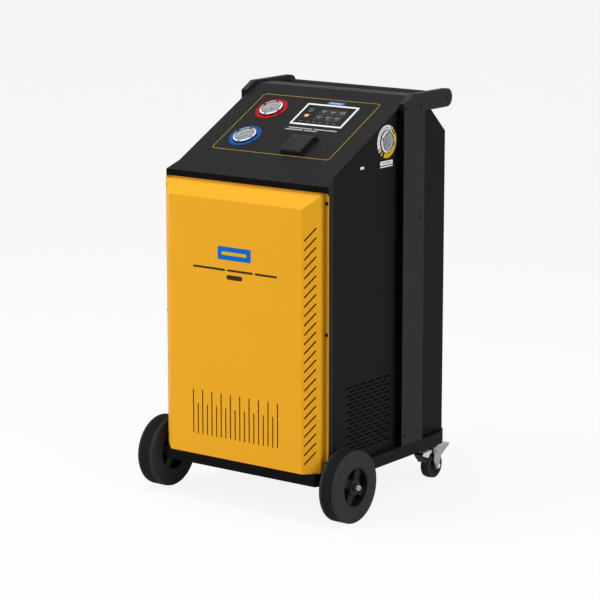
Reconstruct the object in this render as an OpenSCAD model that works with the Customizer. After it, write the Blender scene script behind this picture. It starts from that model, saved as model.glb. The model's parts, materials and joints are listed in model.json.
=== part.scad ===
// Refrigerant recovery machine: a service cabinet on two wheels and two braked casters.
// Millimetres. +Z is up, the front faces -Y, the origin lies on the floor under the middle.

/* [Cabinet] */
// Width across the side panels
cabinet_w = 525; // [480:5:600]
// Depth from the front plane to the rear plane
cabinet_d = 573; // [560:1:680]
// Height of the front edge of the control panel above the floor
panel_front_z = 914; // [890:1:940]
// Height of the flat top above the panel's front edge
panel_rise = 201; // [176:1:211]
// Slope of the control panel in degrees
panel_slope = 27; // [26:0.5:32]
// Depth of the flat top between its two slopes
top_flat = 55.5; // [46:0.5:70]
// Drop of the sloped rear edge
rear_slope_drop = 115; // [60:1:140]
// Thickness of the sheet metal
sheet = 2; // [1.5:0.1:3]
// How far the front frame flares out past each side panel
flare_w = 14; // [8:1:15]
// Depth over which the front frame flares
flare_d = 41; // [25:1:60]
// How far the front plane lies ahead of the front axle
front_ahead = 37; // [30:1:50]

/* [Base tray] */
// Reach of the tray past each side panel
base_side = 17.5; // [16:0.5:40]
// Height of the tray's skirt
base_h = 35; // [30:1:45]
// Height of the skirt's lower edge above the floor
base_z = 102; // [100:1:112]
// Reach of the tray ahead of the cabinet
base_front = 35; // [20:1:45]
// Reach of the tray behind the cabinet
base_rear = 16; // [12:1:30]
// Sideways size of the cut corners
corner_cut_x = 24; // [10:1:28]
// Lengthways size of the cut corners
corner_cut_y = 40; // [20:1:45]
// Thickness of the tray's walls
base_wall = 3; // [2:0.5:4]

/* [Front cover] */
// Distance of the flat front face from the flange's edge
cover_margin = 51; // [50:1:70]
// Depth of the cover
cover_d = 52; // [46:1:60]
// Depth of the sloped sides and top
cover_hip_d = 35.5; // [30:0.5:40]
// Sideways run of the sloped sides
cover_side_run = 37; // [34:1:38]
// Drop of the flat front face below the cover's top
cover_top_drop = 40; // [34:1:50]
// Height of the flange above the sloped top
cover_top_lip = 3.5; // [3:0.5:6]
// Gap between the cover's top and the edge of the control panel
cover_gap = 17; // [12:1:24]
// Thickness of the cover's sheet
cover_sheet = 1.5; // [1:0.1:2]
// Radius where the cover's walls turn into the flange
cover_fillet = 2; // [1:0.5:2.5]
// Radius of the flange's upper corners
cover_corner_r = 9; // [5:1:9]
// Width of every slot in the cover
slot_w = 4; // [3:0.5:5]
// Number of upright slots
front_slots = 19; // [9:2:23]
// Spacing of the upright slots
front_slot_pitch = 16.1; // [12:0.1:18]
// Length of the long upright slots
long_slot = 124; // [90:1:160]
// Length of the short upright slots
short_slot = 85; // [50:1:88]
// Height of the upright slots above the cover's lower edge
front_slot_z = 59; // [40:1:90]
// Number of slanted slots on each sloped side
side_slots = 25; // [15:1:26]
// Spacing of the slanted slots
side_slot_pitch = 25.4; // [20:0.1:26]
// Length of the slanted slots
side_slot_len = 47; // [30:1:48]
// Angle of the slanted slots in degrees
side_slot_angle = 47; // [40:1:50]

/* [Side vents] */
// Number of rows of dashes
vent_rows = 17; // [7:2:19]
// Spacing of the rows
vent_row_pitch = 11.2; // [9:0.1:13]
// Number of dashes in the long rows, with one fewer in the rows between
vent_cols = 6; // [3:1:6]
// Spacing of the dashes
vent_col_pitch = 36.4; // [33:0.1:38]
// Length of a dash
vent_dash = 28; // [20:1:30]
// Height of a dash
vent_dash_h = 4.5; // [3:0.5:6]
// Height of the lowest row above the tray
vent_z = 31; // [20:1:60]
// Distance of the first dash from the front plane
vent_y = 112; // [90:1:120]

/* [Handle] */
// Depth of a handle post
post_d = 103; // [90:1:120]
// Thickness of a handle post
post_t = 17.5; // [15:0.5:18]
// Distance of the post's rear edge from the rear edge of the flat top
post_inset = 4; // [0:1:10]
// Height of the top of the arms above the cabinet's flat top
post_rise = 6.5; // [4:0.5:20]
// Height of an arm
arm_h = 51; // [40:1:56]
// Distance of the cross bar from the cabinet's rear plane
bar_inset = 18; // [10:1:30]
// Diameter of the cross bar
bar_d = 28; // [22:1:34]
// Wall of the handle parts
post_wall = 2.5; // [2:0.5:4]

/* [Control panel] */
// Distance of the low side gauge up the slope
low_gauge_s = 186; // [170:1:200]
// Distance of the high side gauge up the slope
high_gauge_s = 322; // [310:1:335]
// Sideways place of the panel gauges
panel_gauge_x = -130; // [-150:1:-125]
// Diameter of the panel gauges
panel_gauge_d = 68; // [60:1:76]
// Diameter of the panel gauges' trim rings
panel_ring_d = 95; // [88:1:110]
// Width of the display frame
display_w = 175; // [160:1:190]
// Height of the display frame
display_h = 102; // [90:1:110]
// Visible width of the display frame's edge
display_edge = 6; // [5:0.5:12]
// Sideways place of the display
display_x = 60; // [40:1:80]
// Distance of the display up the slope
display_s = 312; // [300:1:325]
// Side of the panel printer's flange
printer_w = 84; // [80:1:90]
// Height of the printer lid above the panel
printer_h = 15; // [14:0.5:20]
// Sideways place of the printer
printer_x = 70; // [50:1:90]
// Distance of the printer up the slope
printer_s = 164; // [150:1:180]
// Diameter of the paper roll
roll_d = 38; // [30:1:40]

/* [Side gauge] */
// Diameter of the side gauge
side_gauge_d = 62; // [56:1:68]
// Diameter of the side gauge's trim ring
side_ring_d = 91; // [86:1:100]
// Distance of the side gauge ahead of the handle post
side_gauge_gap = 58; // [54:1:80]
// Height of the side gauge below the sloped edge of the control panel
side_gauge_drop = 57.2; // [56:0.1:80]
// Distance of the card reader from the front plane
card_y = 169; // [150:1:190]
// Height of the card reader below the flat top
card_drop = 186; // [180:1:200]

/* [Front wheels] */
// Diameter of the front wheels
wheel_d = 200; // [180:1:206]
// Width of the front wheels
wheel_w = 54; // [40:1:56]
// Gap between the tray and the wheels
wheel_gap = 8; // [6:0.5:16]
// Diameter of the wheel rims
rim_d = 110; // [90:1:126]
// Diameter of the front axle
axle_d = 12; // [10:0.5:16]

/* [Casters] */
// Diameter of the caster wheels
caster_d = 75; // [65:1:78]
// Width of the caster wheels' tread
caster_w = 26; // [20:1:30]
// Distance of the swivel axis from the tray's side
caster_inset = 30; // [28:1:50]
// Distance of the swivel axis behind the cabinet's rear plane (negative is ahead of it)
caster_back = -12; // [-20:1:-10]
// Horizontal distance between the swivel axis and the caster axle
caster_trail = 21; // [16:1:25]
// Length of the fork's crown
fork_len = 76; // [70:1:84]
// Inner width of the fork
fork_gap = 38; // [34:1:44]
// Thickness of the fork's steel
fork_t = 3; // [2:0.5:4]

/* [Rear fittings] */
// Diameter of the hose unions' stubs
union_d = 11.1; // [9:0.1:14]
// Length of the hose unions' stubs
union_len = 16; // [12:1:22]
// Diameter of the fan opening
fan_d = 180; // [150:1:190]

/* [Hidden] */
$fn = 64;

// Clearances
run_gap = 0.05;
seat_gap = 0.3;
cut = 1;

// Main planes, measured from the front axle
y_f = -front_ahead;
y_r = y_f + cabinet_d;
z0 = base_z + base_h;
z_pf = panel_front_z;
z_top = z_pf + panel_rise;
z_rs = z_top - rear_slope_drop;
y_t0 = y_f + panel_rise / tan(panel_slope);
y_t1 = y_t0 + top_flat;
hw = cabinet_w / 2;
base_w = cabinet_w + 2 * base_side;
hw_in = hw - sheet;
hw_flare = hw + flare_w;
y_fe = y_f + flare_d;
z_cover_top = z_pf - cover_gap;
cover_w = 2 * hw_flare + 1;
cover_face_w = cover_w - 2 * cover_margin;

// Handle
y_pr = y_t1 - post_inset;
y_pf = y_pr - post_d;
z_post_top = z_top + post_rise;
z_arm0 = z_post_top - arm_h;
z_bar = z_post_top - arm_h / 2;
y_bar = y_r - bar_inset;
post_slope_run = 43;
post_slope_drop = 23.5;
bar_plug = 20;
x_post = hw + post_t;

// Screws
screw_r = 2;
screw_head_r = 3.6;
screw_head_h = 1.8;
screw_len = 8;
cover_screw_x = cover_w / 2 - 5.6;
cover_screw_r = 5;
cover_screw_inset = 26;
panel_screw_x = 206;
panel_screw_r = 2.6;
panel_screw_s = [106, 400];

// Front wheels
wheel_r = wheel_d / 2;
axle_r = axle_d / 2;
x_wheel_in = base_w / 2 + wheel_gap;
x_wheel_out = x_wheel_in + wheel_w;
tyre_round = 6;
groove_count = 5;
groove_w = 1.6;
groove_deep = 2;
hub_r = 24;
hub_sink = 7;
hub_boss_r = 9;
rim_wall = 3;
rim_sink = 1;
rim_web = 8;
spoke_count = 4;
spoke_turn = 62;
spoke_w = 25;
spoke_sink = 8;
spoke_bite = 6;
nut_stub_r = 4;
nut_af = 13.5;
nut_h = 8;
nut_ring_h = 3;
nut_ring_r = nut_af / 2 - 0.7;
lug_x = base_w / 2 - 42;
lug_t = 5;
lug_r = 16;

// Casters
caster_r = caster_d / 2;
caster_x = base_w / 2 - caster_inset;
caster_y = y_r + caster_back;
cap_h = 8;
crown_z = base_z - cap_h;
caster_axle_z = caster_r;
caster_axle_r = 4;
stem_r = 6;
cap_r = 21;
fork_hw = fork_gap / 2 + fork_t;
fork_eye_r = 9;
fork_front = 16;
fork_waist = [7, 26];
fork_tip = 5;
fork_flange = [12, 2.5, 18];
bolt_af = 13;
bolt_head_h = 5;
caster_hub_r = 11;
caster_tread = 12;
pedal_y = -fork_len / 2 + 6;
pedal_z = crown_z - 10;
pedal_pin_r = 3;
pedal_boss_r = 5;
pedal_w = 30;
pedal_neck = [12, 14];
pedal_hood = 9.5;
tube_w = 54;
tube_wall = 3;

// Middle of the whole machine along Y
rear_reach = caster_y + fork_len / 2;
y_mid = (rear_reach - wheel_r) / 2;

// Gauges
side_gauge_y = y_pf - side_gauge_gap;
side_gauge_z = z_pf + (side_gauge_y - y_f) * tan(panel_slope) - side_gauge_drop;
gauge_deep = 28;
gauge_proud = 6.5;
bezel_w = 6;
bezel_chamfer = 2.5;
lens_ledge = 1.5;
function dial_seat(d) = d / 2 - bezel_w - lens_ledge;
neck_in = 4;
pointer_lift = 0.5;
dial_z = -2;
dial_t = 1;
lens_z = 4;
lens_t = 2;
arbor_r = 1.5;
arbor_len = 12;
pointer_t = 1;
pointer_rest = 225;
ring_t = 0.8;
ring_lift = 0.02;

// Display
display_hole = [display_w - display_edge, display_h - display_edge];
display_window = [display_w - 2 * display_edge, display_h - 2 * display_edge];
display_proud = 2.5;
display_deep = 16;
screen_t = 6;
screen_sink = 0.8;

// Printer
printer_flange = 3;
printer_box = printer_w - 8;
printer_deep = 44;
lid_w = printer_w - 14;
lid_axis_r = 5;
lid_axis_y = printer_w / 2 - 9;
lid_axis_z = printer_flange + lid_axis_r + seat_gap;
lid_front_y = -printer_w / 2 + 3;
lid_wall = 2;
ear_t = 4;
lid_pin_r = 1.5;
roll_w = 57;
roll_bore_r = 6;
roll_clear = 2;
roll_y = 2;
roll_z = -20;

// Inside
shelf_rise = 463;
shelf_z = z0 + shelf_rise;
shelf_lip = 20;
fan_rise = 130;
fan_z = shelf_z + fan_rise;
fan_r = fan_d / 2;
fan_clear = 4;
fan_hub_r = 22;
fan_shaft_r = 3;
scale_h = 30;

// Colours
yellow = "#ebaa1e";
black = "#1e1e1e";
grey_black = "#303030";
zinc = "#c8c8c8";
steel = "#9a9a9a";
rubber = "#343434";
white = "#f2f2f2";

// Moves a piece from the axle's frame to the machine's own frame
module placed() translate([0, -y_mid, 0]) children();

// Carries a flat shape drawn in (Y, Z) along X, centred on x = 0
module along_x(w) rotate([90, 0, 90]) linear_extrude(w, center = true) children();

// Frame on the control panel: x across, y up the slope, z out of the panel
module on_panel(x, s)
    translate([x, y_f + s * cos(panel_slope), z_pf + s * sin(panel_slope)])
        rotate([panel_slope, 0, 0]) children();

// Frame on the right side panel: x to the rear, y up, z outwards
module on_side(y, z) translate([hw, y, z]) rotate([90, 0, 90]) children();

// Frame on the rear plane: x to the left seen from the front, y up, z outwards
module on_rear(x, z) translate([x, y_r, z]) rotate([90, 0, 180]) children();

// Frame of a front wheel: z outwards along the axle, from the wheel's inner face
module on_wheel(side)
    mirror([side < 0 ? 1 : 0, 0, 0]) translate([x_wheel_in, 0, wheel_r]) rotate([90, 0, 90]) children();

// Frame of a caster: origin under the swivel axis, on the floor
module on_caster(side) translate([side * caster_x, caster_y, 0]) children();

// Three gauge places: low side, high side, and the one on the right panel
module on_low() on_panel(panel_gauge_x, low_gauge_s) children();
module on_high() on_panel(panel_gauge_x, high_gauge_s) children();
module on_side_gauge() on_side(side_gauge_y, side_gauge_z) children();

// Convex outline, given counter-clockwise, with every edge moved inwards by t
function unit(v) = v / norm(v);
function inward(p, i) = let (d = unit(p[(i + 1) % len(p)] - p[i])) [-d[1], d[0]];
function inset_outline(p, t) = [
    for (i = [0 : len(p) - 1])
        let (a = inward(p, (i + len(p) - 1) % len(p)), b = inward(p, i)) p[i] + t * (a + b) / (1 + a * b)];

// Side profile of the cabinet in (Y, Z), moved inwards by t on all but its open lower edge
function cabinet_profile(t, drop = 0) = inset_outline([
    [y_f, z0 - t - drop], [y_r, z0 - t - drop], [y_r, z_rs], [y_t1, z_top], [y_t0, z_top], [y_f, z_pf]], t);

// Plan of the tray in (X, Y), moved inwards by t
function base_plan(t) = let (
    w = base_w / 2, a = y_f - base_front, b = y_r + base_rear, cx = corner_cut_x, cy = corner_cut_y)
    inset_outline([[w - cx, a], [w, a + cy], [w, b - cy], [w - cx, b],
        [cx - w, b], [-w, b - cy], [-w, a + cy], [cx - w, a]], t);

// Sheet that follows the cabinet's profile
module cabinet_sheet(w) along_x(w) difference() {
    polygon(cabinet_profile(0));
    polygon(cabinet_profile(sheet, cut));
}

// Screw with its head on z = 0
module screw(head_r = screw_head_r, length = screw_len) {
    cylinder(r = head_r, h = screw_head_h);
    translate([0, 0, -length]) cylinder(r = screw_r, h = length);
}
module screw_hole(length = screw_len)
    translate([0, 0, -length - cut]) cylinder(r = screw_r + run_gap, h = length + 2 * cut);

// Can with rounded ends standing on z = 0
module round_can(r, h, f) rotate_extrude() {
    translate([0, f]) square([r, h - 2 * f]);
    square([r - f, h]);
    translate([r - f, f]) circle(f);
    translate([r - f, h - f]) circle(f);
}

// Size of a flat shape with every side moved inwards by t
function smaller(size, t) = [for (a = size) a - 2 * t];

// Six-sided nut or head of height h standing on z = 0
module hex(af, h) cylinder(d = af / cos(30), h = h, $fn = 6);

// Rectangle with round corners, centred
module round_rect(w, h, r) {
    square([w - 2 * r, h], center = true);
    square([w, h - 2 * r], center = true);
    for (x = [-1, 1], y = [-1, 1]) translate([x * (w / 2 - r), y * (h / 2 - r)]) circle(r);
}

module base_tray() placed() color(black) difference() {
    union() {
        translate([0, 0, base_z]) linear_extrude(base_h) difference() {
            polygon(base_plan(0));
            polygon(base_plan(base_wall));
        }
        translate([0, 0, z0 - base_wall]) linear_extrude(base_wall) polygon(base_plan(0));
        rear_tube();
        for (side = [-1, 1]) axle_lug(side);
    }
    translate([0, 0, wheel_r]) rotate([0, 90, 0])
        cylinder(r = axle_r + run_gap, h = base_w + cut, center = true);
    for (side = [-1, 1]) {
        translate([side * base_w / 2, 0, wheel_r]) rotate([0, 90, 0])
            cylinder(r = axle_r + base_wall, h = 4 * base_wall, center = true);
        on_caster(side) cylinder(r = stem_r + run_gap, h = base_z + tube_wall + cut);
    }
}

// Cross tube under the tray's rear that carries the casters
module rear_tube() intersection() {
    translate([0, caster_y, base_z]) rotate([90, 0, 90]) linear_extrude(base_w, center = true) difference() {
        translate([-tube_w / 2, 0]) square([tube_w, base_h]);
        translate([-tube_w / 2 + tube_wall, tube_wall])
            square([tube_w - 2 * tube_wall, base_h - base_wall - tube_wall]);
    }
    translate([0, 0, base_z]) linear_extrude(base_h) polygon(base_plan(base_wall / 2));
}

// Plate under the tray with the bore of the front axle
module axle_lug(side) translate([side * lug_x, 0, 0]) along_x(lug_t) {
    translate([0, wheel_r]) circle(lug_r);
    translate([-lug_r, wheel_r]) square([2 * lug_r, z0 - base_wall - wheel_r]);
}

module front_frame() placed() color(grey_black) difference() {
    union() {
        translate([-hw_flare, y_f, z0]) cube([2 * hw_flare, sheet, z_cover_top - z0]);
        intersection() {
            translate([0, 0, z0]) linear_extrude(z_top - z0) for (side = [-1, 1])
                polygon([[side * hw_flare, y_f], [side * hw, y_fe], [side * hw_in, y_fe],
                    [side * (hw_flare - sheet), y_f]]);
            along_x(3 * hw) polygon(cabinet_profile(sheet));
        }
    }
    translate([-cover_face_w / 2, y_f - cut, z0 + frame_rail])
        cube([cover_face_w, sheet + 2 * cut, z_cover_top - z0 - 2 * frame_rail]);
    for_cover_screws() screw_hole(screw_len + cut);
}
frame_rail = 30;

// Plan of the cover in (X, Y): flat face, sloped sides, straight walls, rounded turn into the flange
cover_wall = cover_d - cover_hip_d;
cover_wall_x = cover_face_w / 2 + cover_side_run;
cover_slope = atan2(cover_hip_d, cover_side_run);
function cover_turn() = let (x = cover_wall_x + cover_fillet, y = -cover_sheet - cover_fillet)
    [for (a = [180 : -15 : 90]) [x + cover_fillet * cos(a), y + cover_fillet * sin(a)]];
function mirrored(p) = [for (i = [len(p) - 1 : -1 : 0]) [-p[i][0], p[i][1]]];
function cover_plan() = let (
    half = concat([[cover_face_w / 2, -cover_d], [cover_wall_x, -cover_wall]], cover_turn(),
        [[cover_w / 2, -cover_sheet], [cover_w / 2, 0]]))
    concat(half, mirrored(half));
function cover_hollow_plan() = let (
    half = [[cover_face_w / 2, -cover_d], [cover_wall_x, -cover_wall], [cover_wall_x, 0]])
    inset_outline(concat(half, mirrored(half)), cover_sheet);

// Profile of the cover in (Y, Z) below its flange, from the given front line back to the given rear line
function cover_profile(front, rear) = let (top = cover_h - cover_top_lip, face = cover_h - cover_top_drop)
    [[front, 0], [rear, 0], [rear, top], [-cover_wall, top], [-cover_d, face], [front, face]];
cover_h = z_cover_top - z0;

module front_cover() placed() color(yellow) difference() {
    translate([0, y_f, z0]) difference() {
        intersection() {
            linear_extrude(cover_h) polygon(cover_plan());
            along_x(cover_w) {
                polygon(cover_profile(-cover_d - cut, 0));
                translate([-2 * cover_sheet, 0]) square([2 * cover_sheet, cover_h]);
            }
            rotate([90, 0, 0]) linear_extrude(3 * cover_d, center = true) cover_flange();
        }
        cover_hollow();
        translate([0, -cover_d, 0]) front_slot_row();
        for (side = [0, 1]) mirror([side, 0, 0]) side_slot_column();
    }
    for_cover_screws() screw_hole(screw_len + cut);
}

// Outline of the flange seen from the front, with its upper corners rounded
module cover_flange() let (h = cover_h, r = cover_corner_r) {
    translate([-cover_w / 2, 0]) square([cover_w, h - r]);
    translate([-cover_w / 2 + r, 0]) square([cover_w - 2 * r, h]);
    for (side = [-1, 1]) translate([side * (cover_w / 2 - r), h - r]) circle(r);
}

// Space behind the cover's sheet, open at the back
module cover_hollow() intersection() {
    linear_extrude(cover_h) {
        polygon(cover_hollow_plan());
        translate([2 * cover_sheet - cover_wall_x, -cover_sheet - cut / 2])
            square([2 * cover_wall_x - 4 * cover_sheet, cover_sheet + cut]);
    }
    along_x(cover_w) polygon(inset_outline(cover_profile(-cover_d - cut, 2 * cover_sheet), cover_sheet));
}

// Long and short upright slots with a common lower line
module front_slot_row() for (i = [0 : front_slots - 1]) let (
    x = (i - (front_slots - 1) / 2) * front_slot_pitch, length = i % 2 == 0 ? long_slot : short_slot)
    translate([x - slot_w / 2, -cut, front_slot_z]) cube([slot_w, cover_sheet + 2 * cut, length]);

// Slanted slots down one sloped side
module side_slot_column() {
    slope_len = norm([cover_side_run, cover_hip_d]);
    first = (cover_h - (side_slots - 1) * side_slot_pitch) / 2 - side_slot_low;
    for (i = [0 : side_slots - 1])
        translate([cover_face_w / 2, -cover_d, first + i * side_slot_pitch]) rotate([0, 0, cover_slope])
            translate([slope_len * side_slot_mid, 0, 0]) rotate([0, -side_slot_angle, 0])
                cube([side_slot_len, 6 * cover_sheet, slot_w], center = true);
}
side_slot_low = 32;
side_slot_mid = 0.44;

// Places of the cover's screws, three down each flange
module for_cover_screws() for (side = [-1, 1], k = [0, 0.5, 1]) let (
    low = z0 + cover_screw_inset, high = z_cover_top - cover_screw_inset)
    translate([side * cover_screw_x, y_f - cover_sheet, low + k * (high - low)])
        rotate([90, 0, 0]) children();

module cover_screws() placed() color(black) for_cover_screws() screw(cover_screw_r);

// Flat side panel between the flare and the rear cover
module side_sheet(side) translate([side * (hw - sheet / 2), 0, 0]) along_x(sheet) intersection() {
    polygon(cabinet_profile(sheet));
    translate([y_fe, z0]) square([cabinet_d, z_top]);
}

// Staggered dashes of the side vent
module vent_dashes() for (row = [0 : vent_rows - 1], col = [0 : vent_cols - 1 - row % 2]) let (
    shift = row % 2 * vent_col_pitch / 2)
    translate([0, y_f + vent_y + shift + col * vent_col_pitch, z0 + vent_z + row * vent_row_pitch])
        cube([cabinet_w + cut, vent_dash, vent_dash_h], center = true);

module side_panel_left() placed() color(black) difference() {
    side_sheet(-1);
    vent_dashes();
}

module side_panel_right() placed() color(black) difference() {
    side_sheet(1);
    vent_dashes();
    on_side_gauge() gauge_hole(side_gauge_d);
    on_card() cube([card_slot_w + 2 * run_gap, card_slot_h + 2 * run_gap, 4 * sheet], center = true);
}

module rear_cover() placed() color(black) difference() {
    intersection() {
        cabinet_sheet(cabinet_w);
        translate([-hw, y_t0, z0]) cube([cabinet_w, cabinet_d, z_top]);
    }
    on_rear(0, fan_z) cylinder(r = fan_r, h = 4 * sheet, center = true);
    on_inlet() cube([inlet_w + 2 * seat_gap, inlet_h + 2 * seat_gap, 4 * sheet], center = true);
    for (x = [low_union_x, high_union_x])
        on_rear(x, union_z) cylinder(r = union_tail_r + run_gap, h = 4 * sheet, center = true);
    rear_louvres();
}

// Upright rows of vent slots low on the rear cover
louvre_count = 12;
louvre_pitch = 16;
louvre_len = 90;
louvre_z = shelf_z - 2 * louvre_len;
module rear_louvres() for (i = [0 : louvre_count - 1])
    on_rear((i - (louvre_count - 1) / 2) * louvre_pitch, louvre_z)
        cube([slot_w, louvre_len, 4 * sheet], center = true);

module control_panel() placed() color(grey_black) difference() {
    intersection() {
        cabinet_sheet(2 * hw_flare);
        translate([0, 0, z_cover_top]) linear_extrude(z_top) polygon([[-hw_flare, y_f], [hw_flare, y_f],
            [hw, y_fe], [hw, y_t0], [-hw, y_t0], [-hw, y_fe]]);
    }
    on_low() gauge_hole(panel_gauge_d);
    on_high() gauge_hole(panel_gauge_d);
    on_panel(display_x, display_s)
        linear_extrude(4 * sheet, center = true) square(display_hole, center = true);
    on_panel(printer_x, printer_s)
        cube([printer_box + 2 * seat_gap, printer_box + 2 * seat_gap, 4 * sheet], center = true);
    for_panel_screws() screw_hole();
}

module for_panel_screws() for (side = [-1, 1], s = panel_screw_s)
    on_panel(side * panel_screw_x, s) children();
module panel_screws() placed() color(black) for_panel_screws() screw(panel_screw_r);

// Outline of a handle post and its arm in (Y, Z)
module post_outline() {
    polygon([[y_pf, z0], [y_pr, z0], [y_pr, z_arm0], [y_bar, z_arm0], [y_bar, z_post_top],
        [y_pf + post_slope_run, z_post_top], [y_pf, z_post_top - post_slope_drop]]);
    translate([y_bar, z_bar]) circle(arm_h / 2);
}

// Places of the screws on one post, as (Y, Z)
post_screw_front = y_pf + 13;
post_screw_rear = y_pr - 19;
post_screw_high = z_post_top - 37;
post_screw_low = z0 + 30;
post_screw_mid = post_screw_low + 0.665 * (post_screw_high - post_screw_low);
post_screw_places = [[y_bar, z_bar], [post_screw_front, post_screw_high], [post_screw_rear, post_screw_high],
    [post_screw_rear, post_screw_mid], [post_screw_front, post_screw_low], [post_screw_rear, post_screw_low]];
module for_post_screws(side) mirror([side < 0 ? 1 : 0, 0, 0]) for (p = post_screw_places)
    translate([x_post, p[0], p[1]]) rotate([90, 0, 90]) children();

// Folded channel: an outer plate with a rim, open towards the side panel, with a solid arm
module handle_post(side) difference() {
    translate([side * (hw + post_t / 2), 0, 0]) along_x(post_t) post_outline();
    translate([side * (hw + (post_t - post_wall) / 2), 0, 0])
        along_x(post_t - post_wall + run_gap) translate([y_pf + post_wall, z0 + post_wall])
            square([post_d - 2 * post_wall, z_arm0 - z0 - 4 * post_wall]);
    for_post_screws(side) screw_hole(post_t + cut);
}
module handle_post_left() placed() color(grey_black) handle_post(-1);
module handle_post_right() placed() color(grey_black) handle_post(1);

module handle_bar() placed() color(black) translate([0, y_bar, z_bar]) rotate([0, 90, 0]) difference() {
    cylinder(d = bar_d, h = cabinet_w, center = true);
    cylinder(d = bar_d - 2 * post_wall, h = cabinet_w - 2 * bar_plug, center = true);
    cylinder(r = screw_r + run_gap, h = cabinet_w + cut, center = true);
}

module post_screws() placed() color(black) for (side = [-1, 1])
    for_post_screws(side) screw(length = post_t - post_wall);

// Display module: a tray behind the panel with a raised frame
module display_bezel() placed() color(white) on_panel(display_x, display_s) difference() {
    union() {
        linear_extrude(display_proud) round_rect(display_w, display_h, 3);
        translate([0, 0, -display_deep]) linear_extrude(display_deep)
            square(smaller(display_hole, seat_gap), center = true);
    }
    translate([0, 0, display_proud - screen_t]) linear_extrude(screen_t + cut)
        square(display_window, center = true);
}

module display_screen() placed() color("#101214") on_panel(display_x, display_s)
    translate([0, 0, display_proud - screen_t]) linear_extrude(screen_t - screen_sink)
        square(smaller(display_window, run_gap), center = true);

// Panel printer: flange, box with the roll's bay, ears for the lid
module printer_body() placed() color(black) on_panel(printer_x, printer_s) difference() {
    union() {
        linear_extrude(printer_flange) round_rect(printer_w, printer_w, 4);
        translate([0, 0, -printer_deep / 2]) cube([printer_box, printer_box, printer_deep], center = true);
        for (side = [-1, 1]) translate([side * (lid_w / 2 + seat_gap + ear_t / 2), 0, 0]) along_x(ear_t) {
            translate([lid_axis_y, lid_axis_z]) circle(lid_axis_r);
            translate([lid_axis_y - lid_axis_r, 0]) square([2 * lid_axis_r, lid_axis_z]);
        }
    }
    translate([0, roll_y, roll_z]) roll_bay();
    translate([0, lid_axis_y, lid_axis_z]) rotate([0, 90, 0])
        cylinder(r = lid_pin_r + run_gap, h = printer_w, center = true);
}

// Bay of the paper roll, open at the top, with the roll's spindle left standing
module roll_bay() let (d = roll_d + 2 * roll_clear, w = roll_w + 2 * roll_clear) difference() {
    union() {
        rotate([0, 90, 0]) cylinder(d = d, h = w, center = true);
        translate([-w / 2, -d / 2, 0]) cube([w, d, printer_flange + cut - roll_z]);
    }
    rotate([0, 90, 0]) cylinder(r = roll_bore_r, h = w + cut, center = true);
}

// Flip lid: a hollow sloped cover on a rounded hinge edge with two pins
module printer_lid() placed() color(black) on_panel(printer_x, printer_s) {
    difference() {
        along_x(lid_w) lid_outline();
        along_x(lid_w - 2 * lid_wall) lid_hollow();
    }
    translate([0, lid_axis_y, lid_axis_z]) rotate([0, 90, 0])
        cylinder(r = lid_pin_r, h = lid_w + 2 * seat_gap + ear_t, center = true);
}
module lid_hollow() let (front = lid_front_y + lid_wall, rear = lid_axis_y - lid_axis_r - lid_wall)
    polygon([[front, 0], [rear, 0], [rear, lid_axis_z + lid_axis_r - lid_wall],
        [front + 2 * lid_wall, printer_h - lid_wall], [front, printer_h - 3 * lid_wall]]);
module lid_outline() let (low = printer_flange + seat_gap) {
    polygon([[lid_front_y, low], [lid_axis_y, low], [lid_axis_y, lid_axis_z + lid_axis_r],
        [lid_axis_y - 3 * lid_axis_r, printer_h], [lid_front_y + 2 * lid_wall, printer_h],
        [lid_front_y, printer_h - 2 * lid_wall]]);
    translate([lid_axis_y, lid_axis_z]) circle(lid_axis_r);
}

module paper_roll() placed() color(white) on_panel(printer_x, printer_s)
    translate([0, roll_y, roll_z]) rotate([0, 90, 0]) difference() {
        cylinder(d = roll_d, h = roll_w, center = true);
        cylinder(r = roll_bore_r + run_gap, h = roll_w + cut, center = true);
    }

// Gauge case: cup behind the panel, flange and bezel in front, stepped seat for the lens
module gauge_hole(d)
    translate([0, 0, -gauge_deep]) cylinder(r = d / 2 - neck_in + seat_gap, h = 2 * gauge_deep);
module gauge_case(d)
    let (r = d / 2, seat = dial_seat(d), bore = arbor_r + run_gap, end = dial_z - arbor_len - cut)
    rotate_extrude()
    polygon([[0, -gauge_deep], [r - neck_in, -gauge_deep], [r - neck_in, 0], [r, 0],
        [r, gauge_proud - bezel_chamfer], [r - bezel_chamfer, gauge_proud], [r - bezel_w, gauge_proud],
        [r - bezel_w, lens_z], [seat, lens_z], [seat, dial_z], [bore, dial_z], [bore, end], [0, end]]);
module gauge_cases() placed() color(white) {
    on_low() gauge_case(panel_gauge_d);
    on_high() gauge_case(panel_gauge_d);
    on_side_gauge() gauge_case(side_gauge_d);
}

module gauge_dial(d) translate([0, 0, dial_z]) difference() {
    cylinder(r = dial_seat(d) - seat_gap, h = dial_t);
    translate([0, 0, -cut]) cylinder(r = 2 * arbor_r, h = dial_t + 2 * cut);
}
module gauge_dials() placed() color(white) {
    on_low() gauge_dial(panel_gauge_d);
    on_high() gauge_dial(panel_gauge_d);
    on_side_gauge() gauge_dial(side_gauge_d);
}

module gauge_lens(d) translate([0, 0, lens_z]) cylinder(r = d / 2 - bezel_w - run_gap, h = lens_t);
module gauge_lenses() placed() color("#dfe8ec", 0.4) {
    on_low() gauge_lens(panel_gauge_d);
    on_high() gauge_lens(panel_gauge_d);
    on_side_gauge() gauge_lens(side_gauge_d);
}

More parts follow.
